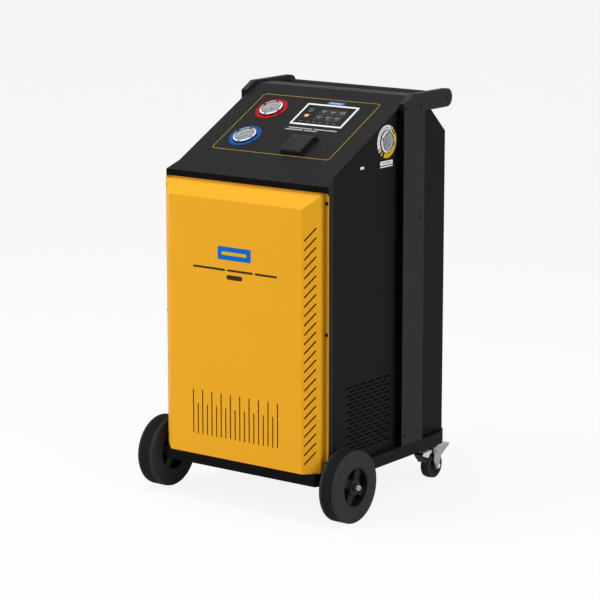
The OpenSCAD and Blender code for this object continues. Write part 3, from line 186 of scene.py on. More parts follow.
def panel_edge():
    """Middle of the control panel's front edge, on the panel's plane."""
    gauge = Vector(JOINTS["low_pointer_sweep"]["pos_m"])
    back = (gauge.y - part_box("control_panel")[0].y) / PANEL_RISE.y
    edge = gauge - PANEL_RISE * back
    edge.x = 0
    return edge


PANEL_EDGE = panel_edge()


def on_panel(x, s, lift=0.0):
    """Frame on the control panel: x across, s up the slope from its front edge."""
    return axes_frame(PANEL_EDGE + X_AXIS * x + PANEL_RISE * s + PANEL_UP * lift, X_AXIS, PANEL_UP)


def panel_place(node):
    """Middle of a node as (x, s) on the control panel."""
    low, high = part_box(node)
    middle = (low + high) / 2
    return middle.x, (middle - PANEL_EDGE).dot(PANEL_RISE)


def on_right_side(y, z, lift=0.0):
    """Frame on the right side panel: x to the rear, y up, z outwards."""
    return axes_frame(Vector((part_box("side_panel_right")[1].x + lift, y, z)), Y_AXIS, X_AXIS)


def on_front(x, z, lift=0.0):
    """Frame on the front cover's flat face: x to the right, y up, z outwards."""
    return axes_frame(Vector((x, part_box("front_cover")[0].y - lift, z)), X_AXIS, -Y_AXIS)


def gauge_frame(name):
    """Frame of a gauge: z out of its face, y up."""
    joint = JOINTS[f"{name}_pointer_sweep"]
    across = Y_AXIS if name == "side" else X_AXIS
    return axes_frame(Vector(joint["pos_m"]), across, -Vector(joint["axis"]))


# Shader node groups
def new_group(name, inputs, outputs):
    """Empty shader node group with its named sockets."""
    tree = bpy.data.node_groups.new(name, "ShaderNodeTree")
    for label, kind, value in inputs:
        socket = tree.interface.new_socket(name=label, in_out="INPUT", socket_type=kind)
        socket.default_value = value
    for label, kind in outputs:
        tree.interface.new_socket(name=label, in_out="OUTPUT", socket_type=kind)
    return tree, tree.nodes.new("NodeGroupInput"), tree.nodes.new("NodeGroupOutput")


def add_node(tree, kind, values=None, **settings):
    """Node with its settings and the values of its own sockets."""
    made = tree.nodes.new(kind)
    for label, value in settings.items():
        setattr(made, label, value)
    for label, value in (values or {}).items():
        made.inputs[label].default_value = value
    return made


def feed(tree, socket, value):
    """Gives a socket a number, or links another socket to it."""
    if isinstance(value, (int, float)):
        socket.default_value = value
    else:
        tree.links.new(value, socket)


def add_noise(tree, vector, scale, detail=2.0):
    """Noise on the given coordinates; the scale is a number or a socket."""
    noise = add_node(tree, "ShaderNodeTexNoise", {"Detail": detail})
    tree.links.new(vector, noise.inputs["Vector"])
    feed(tree, noise.inputs["Scale"], scale)
    return noise.outputs[0]


def add_range(tree, value, low, high, to_low, to_high):
    """Map Range from numbers to numbers or sockets."""
    made = add_node(tree, "ShaderNodeMapRange", {"From Min": low, "From Max": high})
    tree.links.new(value, made.inputs["Value"])
    feed(tree, made.inputs["To Min"], to_low)
    feed(tree, made.inputs["To Max"], to_high)
    return made.outputs["Result"]


def add_math(tree, operation, first, second):
    """Math node on sockets or numbers."""
    made = add_node(tree, "ShaderNodeMath", operation=operation)
    feed(tree, made.inputs[0], first)
    feed(tree, made.inputs[1], second)
    return made.outputs[0]


def add_tint(tree, base, factor):
    """Colour multiplied by a varying value, in the colour sockets of a Mix node."""
    mix = add_node(tree, "ShaderNodeMix", data_type="RGBA", blend_type="MULTIPLY")
    mix.inputs[0].default_value = 1
    tree.links.new(base, mix.inputs[6])
    tree.links.new(factor, mix.inputs[7])
    return mix.outputs[2]


FINISH_INPUTS = [
    ("Colour", "NodeSocketColor", (0.5, 0.5, 0.5, 1)),
    ("Grain", "NodeSocketFloat", 900.0),
    ("Mottle", "NodeSocketFloat", 0.05),
    ("Smoothest", "NodeSocketFloat", 0.35),
    ("Roughest", "NodeSocketFloat", 0.5),
]
FINISH_OUTPUTS = [
    ("Colour", "NodeSocketColor"),
    ("Roughness", "NodeSocketFloat"),
    ("Height", "NodeSocketFloat"),
]


def finish_group(name, pattern):
    """Group whose pattern function gives a fine height and a broad value on object coordinates."""
    tree, start, end = new_group(name, FINISH_INPUTS, FINISH_OUTPUTS)
    place = tree.nodes.new("ShaderNodeTexCoord").outputs["Object"]
    height, broad = pattern(tree, place, start.outputs["Grain"])
    darkest = add_math(tree, "SUBTRACT", 1.0, start.outputs["Mottle"])
    lightest = add_math(tree, "ADD", 1.0, start.outputs["Mottle"])
    shade = add_range(tree, broad, NOISE_LOW, NOISE_HIGH, darkest, lightest)
    tree.links.new(add_tint(tree, start.outputs["Colour"], shade), end.inputs["Colour"])
    smoothest, roughest = start.outputs["Smoothest"], start.outputs["Roughest"]
    rough = add_range(tree, broad, NOISE_LOW, NOISE_HIGH, smoothest, roughest)
    tree.links.new(rough, end.inputs["Roughness"])
    tree.links.new(height, end.inputs["Height"])


def powder_pattern(tree, place, grain):
    """Orange peel of a powder coat, with slow changes of tone."""
    return add_noise(tree, place, grain, detail=3.0), add_noise(tree, place, scale=7.0, detail=3.0)


def moulded_pattern(tree, place, grain):
    """Spark-eroded grain of moulded plastic."""
    cells = add_node(tree, "ShaderNodeTexVoronoi", feature="SMOOTH_F1")
    tree.links.new(place, cells.inputs["Vector"])
    tree.links.new(grain, cells.inputs["Scale"])
    return cells.outputs["Distance"], add_noise(tree, place, scale=24.0)


def plated_pattern(tree, place, grain):
    """Faint spangle and rolling lines of plated steel."""
    stretch = add_node(tree, "ShaderNodeMapping", {"Scale": (1.0, 1.0, 0.06)})
    tree.links.new(place, stretch.inputs["Vector"])
    lines = add_noise(tree, stretch.outputs["Vector"], grain)
    spangle = add_node(tree, "ShaderNodeTexVoronoi", {"Scale": 260.0})
    tree.links.new(place, spangle.inputs["Vector"])
    tone = add_math(tree, "MULTIPLY", add_noise(tree, place, scale=55.0, detail=3.0), 0.7)
    speck = add_math(tree, "MULTIPLY", spangle.outputs["Distance"], 0.5)
    return lines, add_math(tree, "ADD", tone, speck)


def rubber_pattern(tree, place, grain):
    """Dusty, slightly cloudy rubber."""
    return add_noise(tree, place, grain, detail=4.0), add_noise(tree, place, scale=38.0, detail=4.0)


def printed_pattern(tree, place, grain):
    """Screen-printed ink: almost even, with a soft weave."""
    return add_noise(tree, place, grain, detail=1.0), add_noise(tree, place, scale=60.0)


PATTERNS = {
    "powder coat": powder_pattern,
    "moulded plastic": moulded_pattern,
    "plated steel": plated_pattern,
    "worn rubber": rubber_pattern,
    "printed ink": printed_pattern,
}


def finish(name, base, pattern, rough, grain, bump, mottle=0.05, **sockets):
    """Material with one of the shared patterns; the other values are the shader's own sockets."""
    material = bpy.data.materials.new(name)
    material.use_nodes = True
    tree = material.node_tree
    shader = tree.nodes["Principled BSDF"]
    effect = add_node(tree, "ShaderNodeGroup", node_tree=bpy.data.node_groups[pattern])
    for label, value in (
            ("Colour", (*base, 1)), ("Grain", grain), ("Mottle", mottle),
            ("Smoothest", rough[0]), ("Roughest", rough[1])):
        effect.inputs[label].default_value = value
    tree.links.new(effect.outputs["Colour"], shader.inputs["Base Color"])
    tree.links.new(effect.outputs["Roughness"], shader.inputs["Roughness"])
    relief = add_node(tree, "ShaderNodeBump", {"Strength": RELIEF, "Distance": bump * MM})
    tree.links.new(effect.outputs["Height"], relief.inputs["Height"])
    tree.links.new(relief.outputs["Normal"], shader.inputs["Normal"])
    for label, value in sockets.items():
        shader.inputs[label.replace("_", " ")].default_value = value
    return material


def add_vector(tree, operation, first, second):
    """Vector Math node on two sockets."""
    made = add_node(tree, "ShaderNodeVectorMath", operation=operation)
    tree.links.new(first, made.inputs[0])
    tree.links.new(second, made.inputs[1])
    return made.outputs["Vector"]


def shadow_group():
    """Group that darkens a colour near a plane or a line, the same on the left and on the right."""
    inputs = [
        ("Colour", "NodeSocketColor", (0.5, 0.5, 0.5, 1)), ("Place", "NodeSocketVector", (0, 0, 0)),
        ("Axes", "NodeSocketVector", (1, 0, 0)), ("Reach", "NodeSocketFloat", 0.01),
        ("Core", "NodeSocketFloat", 0.0), ("Depth", "NodeSocketFloat", 0.5),
    ]
    tree, start, end = new_group("soft shadow", inputs, [("Colour", "NodeSocketColor")])
    spot = tree.nodes.new("ShaderNodeSeparateXYZ")
    tree.links.new(tree.nodes.new("ShaderNodeTexCoord").outputs["Object"], spot.inputs[0])
    folded = tree.nodes.new("ShaderNodeCombineXYZ")
    tree.links.new(add_math(tree, "ABSOLUTE", spot.outputs["X"], 0.0), folded.inputs["X"])
    tree.links.new(spot.outputs["Y"], folded.inputs["Y"])
    tree.links.new(spot.outputs["Z"], folded.inputs["Z"])
    away = add_vector(tree, "SUBTRACT", folded.outputs["Vector"], start.outputs["Place"])
    away = add_vector(tree, "MULTIPLY", away, start.outputs["Axes"])
    distance = add_node(tree, "ShaderNodeVectorMath", operation="LENGTH")
    tree.links.new(away, distance.inputs[0])
    share = add_math(tree, "DIVIDE", distance.outputs["Value"], start.outputs["Reach"])
    least = add_math(tree, "SUBTRACT", 1.0, start.outputs["Depth"])
    tone = add_range(tree, share, 0.0, 1.0, least, 1.0)
    tone.node.interpolation_type = "SMOOTHSTEP"
    tree.links.new(start.outputs["Core"], tone.node.inputs["From Min"])
    tree.links.new(add_tint(tree, start.outputs["Colour"], tone), end.inputs["Colour"])


def add_shadow(coat, axes, place, reach, depth, core=0.0):
    """Soft shadow on a coat, by the distance from a place along the chosen axes."""
    tree = coat.node_tree
    base = tree.nodes["Principled BSDF"].inputs["Base Color"]
    made = add_node(tree, "ShaderNodeGroup", node_tree=bpy.data.node_groups["soft shadow"])
    values = {"Axes": axes, "Place": place, "Reach": reach, "Depth": depth, "Core": core}
    for label, value in values.items():
        made.inputs[label].default_value = value
    tree.links.new(base.links[0].from_socket, made.inputs["Colour"])
    tree.links.new(made.outputs["Colour"], base)


def lens_finish(name):
    """Clear lens with faint smudges."""
    material = bpy.data.materials.new(name)
    material.use_nodes = True
    tree = material.node_tree
    shader = tree.nodes["Principled BSDF"]
    shader.inputs["Base Color"].default_value = (0.8, 0.84, 0.87, 1)
    shader.inputs["Roughness"].default_value = 0.06
    place = tree.nodes.new("ShaderNodeTexCoord").outputs["Object"]
    smudge = add_noise(tree, place, scale=60.0, detail=3.0)
    veil = add_range(tree, smudge, NOISE_LOW, NOISE_HIGH, to_low=0.08, to_high=0.16)
    tree.links.new(veil, shader.inputs["Alpha"])


def material(name):
    """Material made by the finishes operator."""
    return bpy.data.materials[name]


# Mesh helpers
def shade(bm, angle=32):
    """Smooth faces with sharp edges past the given angle."""
    for face in bm.faces:
        face.smooth = True
    for edge in bm.edges:
        edge.smooth = len(edge.link_faces) != 2 or edge.calc_face_angle(0) < math.radians(angle)


def round_off(bm, geometry, offset, segments=3, affect="EDGES", slide=False):
    """Rounds the given edges, or the given corners of a flat face."""
    bmesh.ops.bevel(
        bm, geom=geometry, offset=offset, offset_type="OFFSET", segments=segments, profile=0.5,
        affect=affect, clamp_overlap=True, material=-1, loop_slide=slide)


def add_piece(name, bm, finish_name, place=None, body="cabinet"):
    """Finished mesh as a piece that rides on a body."""
    if place is not None:
        bmesh.ops.transform(bm, matrix=place, verts=bm.verts)
    shade(bm)
    mesh = bpy.data.meshes.new(name)
    bm.to_mesh(mesh)
    bm.free()
    mesh.materials.append(material(finish_name))
    piece = bpy.data.objects.new(name, mesh)
    bpy.context.scene.collection.objects.link(piece)
    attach(piece, body)
    return piece


def dress(node, finish_name, edge, segments=2, angle=35):
    """Merged copy that stands for a node, with its sharp edges rounded where an edge is given."""
    bm = bmesh.new()
    bm.from_mesh(NODES[node].data)
    bmesh.ops.remove_doubles(bm, verts=bm.verts, dist=WELD)
    bmesh.ops.dissolve_limit(bm, angle_limit=math.radians(1), verts=bm.verts, edges=bm.edges)
    if edge:
        steep = math.radians(angle)
        sharp = [e for e in bm.edges if len(e.link_faces) == 2 and e.calc_face_angle(0) > steep]
        round_off(bm, sharp, edge, segments, slide=True)
    bmesh.ops.dissolve_degenerate(bm, dist=WELD, edges=bm.edges)
    piece = add_piece(f"{node}_dressed", bm, finish_name, None, BODY_OF[node])
    normals = piece.modifiers.new("even normals", "WEIGHTED_NORMAL")
    normals.keep_sharp = True
    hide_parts(node)


def paint(node, finish_name):
    """Material on a node that keeps its own mesh."""
    slots = NODES[node].data.materials
    slots.clear()
    slots.append(material(finish_name))


def rounded_face(bm, width, height, radius, segments=5):
    """Flat rounded rectangle round the origin."""
    w, h = width / 2, height / 2
    corners = [bm.verts.new(c) for c in ((-w, -h, 0), (w, -h, 0), (w, h, 0), (-w, h, 0))]
    face = bm.faces.new(corners)
    if radius:
        round_off(bm, corners, radius, segments, affect="VERTICES")
        face = max(bm.faces, key=lambda f: f.calc_area())
    return face


def thicken(bm, faces, thickness):
    """Closed plate from flat faces."""
    grown = bmesh.ops.extrude_face_region(bm, geom=faces, use_keep_orig=True)
    raised = [v for v in grown["geom"] if isinstance(v, bmesh.types.BMVert)]
    bmesh.ops.translate(bm, verts=raised, vec=(0, 0, thickness))
    bmesh.ops.recalc_face_normals(bm, faces=bm.faces)


def plate(width, height, radius, thickness, edge=0.0):
    """Rounded plate standing on z = 0, with an optional rounded upper edge."""
    bm = bmesh.new()
    thicken(bm, [rounded_face(bm, width, height, radius)], thickness)
    if edge:
        rim = [e for e in bm.edges if all(v.co.z > thickness / 2 for v in e.verts)]
        round_off(bm, rim, edge)
    return bm


def printed_bar(width, height, radius=0.0):
    """Flat printed bar, in millimetres."""
    return plate(width * MM, height * MM, radius * MM, PRINT)


def moved(x, y, z=0.0):
    """Move by millimetres."""
    return Matrix.Translation((x * MM, y * MM, z * MM))


def outline(width, height, radius, line, thickness):
    """Rounded rectangular line standing on z = 0."""
    bm = bmesh.new()
    face = rounded_face(bm, width, height, radius)
    strip = bmesh.ops.inset_region(
        bm, faces=[face], thickness=line, use_even_offset=True, use_boundary=True)["faces"]
    inner = [f for f in bm.faces if f not in strip]
    bmesh.ops.delete(bm, geom=inner, context="FACES")
    thicken(bm, list(bm.faces), thickness)
    return bm


def arc(inner, outer, start, end, low, high):
    """Ring sector between two angles in degrees, counter-clockwise from x."""
    bm = bmesh.new()
    corners = [(inner, 0, low), (outer, 0, low), (outer, 0, high), (inner, 0, high)]
    profile = bm.faces.new([bm.verts.new(c) for c in corners])
    turn = Matrix.Rotation(math.radians(start), 3, "Z")
    bmesh.ops.rotate(bm, verts=bm.verts, cent=(0, 0, 0), matrix=turn)
    full = end - start >= 360
    geometry = [*profile.verts, *profile.edges]
    if not full:
        geometry.append(profile)
    bmesh.ops.spin(
        bm, geom=geometry, cent=(0, 0, 0), axis=(0, 0, 1), angle=math.radians(end - start),
        steps=max(3, int((end - start) / ARC_STEP)), use_merge=full, use_duplicate=False)
    if full:
        bmesh.ops.delete(bm, geom=[profile], context="FACES_ONLY")
    bmesh.ops.remove_doubles(bm, verts=bm.verts, dist=WELD)
    bmesh.ops.recalc_face_normals(bm, faces=bm.faces)
    return bm


def join(target, source, place=None):
    """Adds one bmesh to another and frees it."""
    if place is not None:
        bmesh.ops.transform(source, matrix=place, verts=source.verts)
    mesh = bpy.data.meshes.new("join")
    source.to_mesh(mesh)
    source.free()
    target.from_mesh(mesh)
    bpy.data.meshes.remove(mesh)


def lettering(text, size, thickness):
    """Numerals as a mesh, centred on the origin."""
    curve = bpy.data.curves.new("numerals", "FONT")
    curve.body = text
    curve.size = size
    curve.extrude = thickness / 2
    curve.align_x = "CENTER"
    curve.align_y = "CENTER"
    curve.resolution_u = 3
    holder = bpy.data.objects.new("numerals", curve)
    bpy.context.scene.collection.objects.link(holder)
    bpy.context.view_layer.update()
    mesh = bpy.data.meshes.new_from_object(holder.evaluated_get(bpy.context.evaluated_depsgraph_get()))
    bm = bmesh.new()
    bm.from_mesh(mesh)
    bmesh.ops.remove_doubles(bm, verts=bm.verts, dist=WELD)
    bpy.data.objects.remove(holder)
    bpy.data.curves.remove(curve)
    bpy.data.meshes.remove(mesh)
    return bm


class MACHINE_OT_finishes(bpy.types.Operator):
    """Makes the shared node groups and every material"""
    bl_idname = "machine.finishes"
    bl_label = "Finishes"

    FOLD_X = 13 * MM
    FOLD_Y = 2 * MM
    FOLD_REACH = 17 * MM
    LIP_REACH = 10 * MM
    TRAY_REACH = 44 * MM
    PANEL_REACH = 1.2 * MM
    POST_REACH = 1.6 * MM
    BESIDE_POST = 20 * MM
    TREAD_REACH = 24 * MM

    def execute(self, context):
        for name, pattern in PATTERNS.items():
            finish_group(name, pattern)
        shadow_group()
        tint = context.scene.machine_colours
        self.coats(tint)
        self.plastics(tint)
        self.metals(tint)
        self.prints(tint)
        lens_finish("gauge lens")
        return {"FINISHED"}

    def coats(self, tint):
        """Powder coats of the sheet metal, with soft shadows at its folds and edges."""
        coat = {"pattern": "powder coat", "grain": 1500}
        yellow = finish(
            "yellow coat", tint.yellow, **coat, rough=(0.45, 0.52), bump=0.02, mottle=0.012,
            Specular_IOR_Level=0.15)
        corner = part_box("front_cover")[1]
        fold = (corner.x - self.FOLD_X, corner.y - self.FOLD_Y, 0)
        add_shadow(yellow, (1, 1, 0), fold, self.FOLD_REACH, depth=0.55)
        add_shadow(yellow, Z_AXIS, (0, 0, corner.z), self.LIP_REACH, depth=0.4)
        dark = {**coat, "rough": (0.45, 0.56), "bump": 0.03, "mottle": 0.1, "Specular_IOR_Level": 0.05}
        finish("black coat", tint.black, **dark)
        tray = finish("tray coat", tint.black, **dark)
        add_shadow(tray, Y_AXIS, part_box("base_tray")[0], self.TRAY_REACH, depth=0.6)
        post_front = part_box("handle_post_right")[0]
        side = finish("side coat", tint.black, **dark)
        add_shadow(side, Y_AXIS, post_front, self.BESIDE_POST, depth=0.9, core=0.3)
        post = finish(
            "post coat", tint.post, **coat, rough=(0.45, 0.55), bump=0.03, mottle=0.06,
            Specular_IOR_Level=0.06)
        add_shadow(post, Y_AXIS, post_front, self.POST_REACH, depth=0.92)
        charcoal = finish(
            "charcoal coat", tint.charcoal, **coat, rough=(0.48, 0.58), bump=0.03,
            Specular_IOR_Level=0.05)
        add_shadow(charcoal, Y_AXIS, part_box("control_panel")[0], self.PANEL_REACH, depth=0.92)
        finish("compressor enamel", tint.black, "powder coat", (0.25, 0.4), grain=300, bump=0.05,
               mottle=0.1)

    def plastics(self, tint):
        """Moulded plastics, rubber, foam, the circuit board and paper."""
        moulded = {
            "pattern": "moulded plastic", "rough": (0.45, 0.6), "grain": 1800, "bump": 0.04,
            "Specular_IOR_Level": 0.1,
        }
        finish("black plastic", tint.plastic, **moulded, mottle=0.1)
        finish("lid plastic", tint.lid, **moulded, mottle=0.06)
        finish("rim plastic", tint.rim, **moulded, mottle=0.06)
        finish("white plastic", tint.white, "moulded plastic", (0.3, 0.4), grain=2200, bump=0.01,
               mottle=0.02)
        finish("screen glass", tint.screen, "printed ink", (0.12, 0.2), grain=400, bump=0.002, mottle=0.1,
               Specular_IOR_Level=0.07)
        rubber = finish("tyre rubber", tint.rubber, "worn rubber", (0.68, 0.86), grain=1400, bump=0.05,
                        mottle=0.12, Specular_IOR_Level=0.06)
        low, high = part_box("tyre_right")
        add_shadow(rubber, X_AXIS, (low + high) / 2, self.TREAD_REACH, depth=0.6, core=0.5)
        # Near-black pad behind the side vents: painted shade for the cabinet's dark inside
        finish("vent shade black", linear(8, 8, 8), "worn rubber", (0.8, 0.95), grain=500, bump=0.4,
               mottle=0.3, Specular_IOR_Level=0.02)
        finish("board green", linear(31, 92, 56), "printed ink", (0.35, 0.5), grain=500, bump=0.02,
               mottle=0.15)
        finish("roll paper", tint.paper, "printed ink", (0.75, 0.9), grain=1200, bump=0.02, mottle=0.03)

    def metals(self, tint):
        """Plated, turned and cast metals, and the blackened screws."""
        steel = {"pattern": "plated steel", "bump": 0.01}
        plated = {**steel, "rough": (0.24, 0.4), "grain": 700, "mottle": 0.08, "Metallic": 1.0}
        finish("zinc plate", tint.zinc, **plated)
        finish("fork plate", tint.fork, **plated)
        finish("turned brass", tint.brass, **steel, rough=(0.25, 0.4), grain=900, mottle=0.1,
               Metallic=1.0)
        finish("black screws", linear(8, 8, 8), **steel, rough=(0.35, 0.5), grain=900, mottle=0.1,
               Specular_IOR_Level=0.1)
        finish("bare steel", linear(150, 152, 154), "plated steel", (0.3, 0.5), grain=500, bump=0.02,
               mottle=0.1, Metallic=1.0)
        finish("cast aluminium", tint.aluminium, "worn rubber", (0.4, 0.6), grain=600, bump=0.05,
               mottle=0.08, Metallic=1.0)

    def prints(self, tint):
        """Printed inks and the lit lines of the display."""
        inks = {
            "blue ink": tint.blue, "red ink": tint.red, "amber ink": tint.amber, "gold ink": tint.gold,
            "badge ink": tint.badge, "dial ink": tint.dial, "white ink": linear(232, 232, 230),
            "black ink": linear(18, 18, 18), "grey ink": linear(168, 170, 172),
            "green ink": linear(60, 140, 80), "umber ink": linear(58, 44, 14),
        }
        ink = {"pattern": "printed ink", "grain": 1600}
        for name, base in inks.items():
            finish(name, base, **ink, rough=(0.38, 0.5), bump=0.004, mottle=0.04, Specular_IOR_Level=0.06)
        lit = {"screen white": linear(112, 118, 110), "screen amber": linear(214, 164, 40)}
        for name, base in lit.items():
            finish(name, base, **ink, rough=(0.3, 0.4), bump=0.002, mottle=0.1,
                   Emission_Color=(*base, 1), Emission_Strength=0.25)


class MACHINE_OT_stage(bpy.types.Operator):
    """Makes the camera, the floor and the studio light"""
    bl_idname = "machine.stage"
    bl_label = "Stage"

    SENSOR = 36
    VIEW_END = 200
    FLOOR_R = 60
    FLOOR_GLOW = 0.88
    AIM = Vector((0, 0, 0.6))
    # Place, size and power of each lamp
    LAMPS = {
        "overhead": ((-0.4, -0.6, 4.2), 3.2, 95),
        "front key": ((-3.4, -4.2, 2.6), 2.6, 125),
        "right fill": ((5.0, -0.6, 2.2), 2.4, 80),
    }

    def execute(self, context):
        stage = context.scene.machine_stage
        context.scene.view_settings.view_transform = "Standard"
        self.camera(context, stage)
        self.floor(context, stage)
        self.sky(context, stage)
        self.lamps(context)
        return {"FINISHED"}

    def camera(self, context, stage):
        """Camera at the set place and angles."""
        lens = bpy.data.cameras.new("camera")
        lens.lens = stage.lens
        lens.sensor_width = self.SENSOR
        lens.clip_end = self.VIEW_END
        camera = bpy.data.objects.new("camera", lens)
        camera.location = stage.camera
        camera.rotation_euler = (math.pi / 2 - stage.elevation, 0, stage.azimuth)
        context.scene.collection.objects.link(camera)
        context.scene.camera = camera

    def seen_rays(self, tree):
        """1 for rays that look at the background: camera, glossy and transmission rays."""
        rays = tree.nodes.new("ShaderNodeLightPath").outputs
        looks = add_math(tree, "MAXIMUM", rays["Is Camera Ray"], rays["Is Glossy Ray"])
        return add_math(tree, "MAXIMUM", looks, rays["Is Transmission Ray"])

    def floor(self, context, stage):
        """Wide pale floor that keeps the machine's shadow."""
        bm = bmesh.new()
        bmesh.ops.create_circle(bm, cap_ends=True, radius=self.FLOOR_R, segments=64)
        mesh = bpy.data.meshes.new("floor")
        bm.to_mesh(mesh)
        bm.free()
        paper = bpy.data.materials.new("studio floor")
        paper.use_nodes = True
        tree = paper.node_tree
        shader = tree.nodes["Principled BSDF"]
        shader.inputs["Base Color"].default_value = (*stage.floor, 1)
        shader.inputs["Roughness"].default_value = 0.9
        shader.inputs["Specular IOR Level"].default_value = 0
        glow = add_node(tree, "ShaderNodeEmission", {"Color": (1, 1, 1, 1), "Strength": 1.0})
        mix = tree.nodes.new("ShaderNodeMixShader")
        tree.links.new(add_math(tree, "MULTIPLY", self.seen_rays(tree), self.FLOOR_GLOW), mix.inputs[0])
        tree.links.new(shader.outputs[0], mix.inputs[1])
        tree.links.new(glow.outputs[0], mix.inputs[2])
        tree.links.new(mix.outputs[0], tree.nodes["Material Output"].inputs["Surface"])
        mesh.materials.append(paper)
        floor = bpy.data.objects.new("floor", mesh)
        context.scene.collection.objects.link(floor)

    def sky(self, context, stage):
        """Light from all round, with a white background."""
        world = bpy.data.worlds.new("studio")
        world.use_nodes = True
        tree = world.node_tree
        light = tree.nodes["Background"]
        light.inputs["Color"].default_value = (1, 1, 1, 1)
        strength = add_range(tree, self.seen_rays(tree), 0.0, 1.0, stage.sky, 1.0)
        tree.links.new(strength, light.inputs["Strength"])
        context.scene.world = world

    def lamps(self, context):
        """Soft area lamps aimed at the middle of the machine."""
        for name, (place, size, power) in self.LAMPS.items():
            lamp = bpy.data.lights.new(name, "AREA")
            lamp.energy = power
            lamp.size = size
            holder = bpy.data.objects.new(name, lamp)
            holder.location = place
            holder.rotation_euler = (self.AIM - holder.location).to_track_quat("-Z", "Y").to_euler()
            context.scene.collection.objects.link(holder)


class MACHINE_OT_cabinet(bpy.types.Operator):
    """Rounds the folds of the sheet metal and finishes it"""
    bl_idname = "machine.cabinet"
    bl_label = "Cabinet"

    def execute(self, context):
        size = context.scene.machine_sizes
        dress("front_cover", "yellow coat", size.cover_edge)
        dress("base_tray", "tray coat", size.sheet_edge)
        for side in SIDES:
            dress(f"side_panel_{side}", "side coat", size.cover_edge)
            dress(f"handle_post_{side}", "post coat", size.sheet_edge, segments=3)
        dress("rear_cover", "black coat", size.cover_edge)
        dress("front_frame", "charcoal coat", size.cover_edge)
        dress("control_panel", "charcoal coat", size.cover_edge)
        dress("handle_bar", "black plastic", size.cover_edge)
        return {"FINISHED"}


class MACHINE_OT_vent_filters(bpy.types.Operator):
    """Adds near-black pads behind the side vents: painted shade that keeps the vents as dark as the cabinet's
    shaded inside
    """
    bl_idname = "machine.vent_filters"
    bl_label = "Vent shade pads"

    GAP = 2.4 * MM
    THICKNESS = 3 * MM
    CORNER = 4 * MM

    def execute(self, context):
        size = context.scene.machine_sizes
        for side in SIDES:
            low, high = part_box(f"side_panel_{side}")
            sign = 1 if side == "right" else -1
            inside = (high.x if side == "right" else -low.x) - self.GAP - self.THICKNESS
            spot = Vector((sign * inside, size.vent_y, size.vent_z))
            place = axes_frame(spot, sign * Y_AXIS, sign * X_AXIS)
            # Each pad is painted shade: a dark sheet where only the cabinet's shaded inside shows
            pad = plate(size.vent_w, size.vent_h, self.CORNER, self.THICKNESS)
            add_piece(f"vent_shade_pad_{side}", pad, "vent shade black", place)
        return {"FINISHED"}


class MACHINE_OT_fasteners(bpy.types.Operator):
    """Finishes the screws and axle nuts"""
    bl_idname = "machine.fasteners"
    bl_label = "Fasteners"

    def execute(self, context):
        size = context.scene.machine_sizes
        for node in ("cover_screws", "panel_screws", "post_screws"):
            dress(node, "black screws", size.fine_edge, segments=3)
        dress("axle_nuts", "zinc plate", size.fine_edge, segments=3, angle=20)
        return {"FINISHED"}


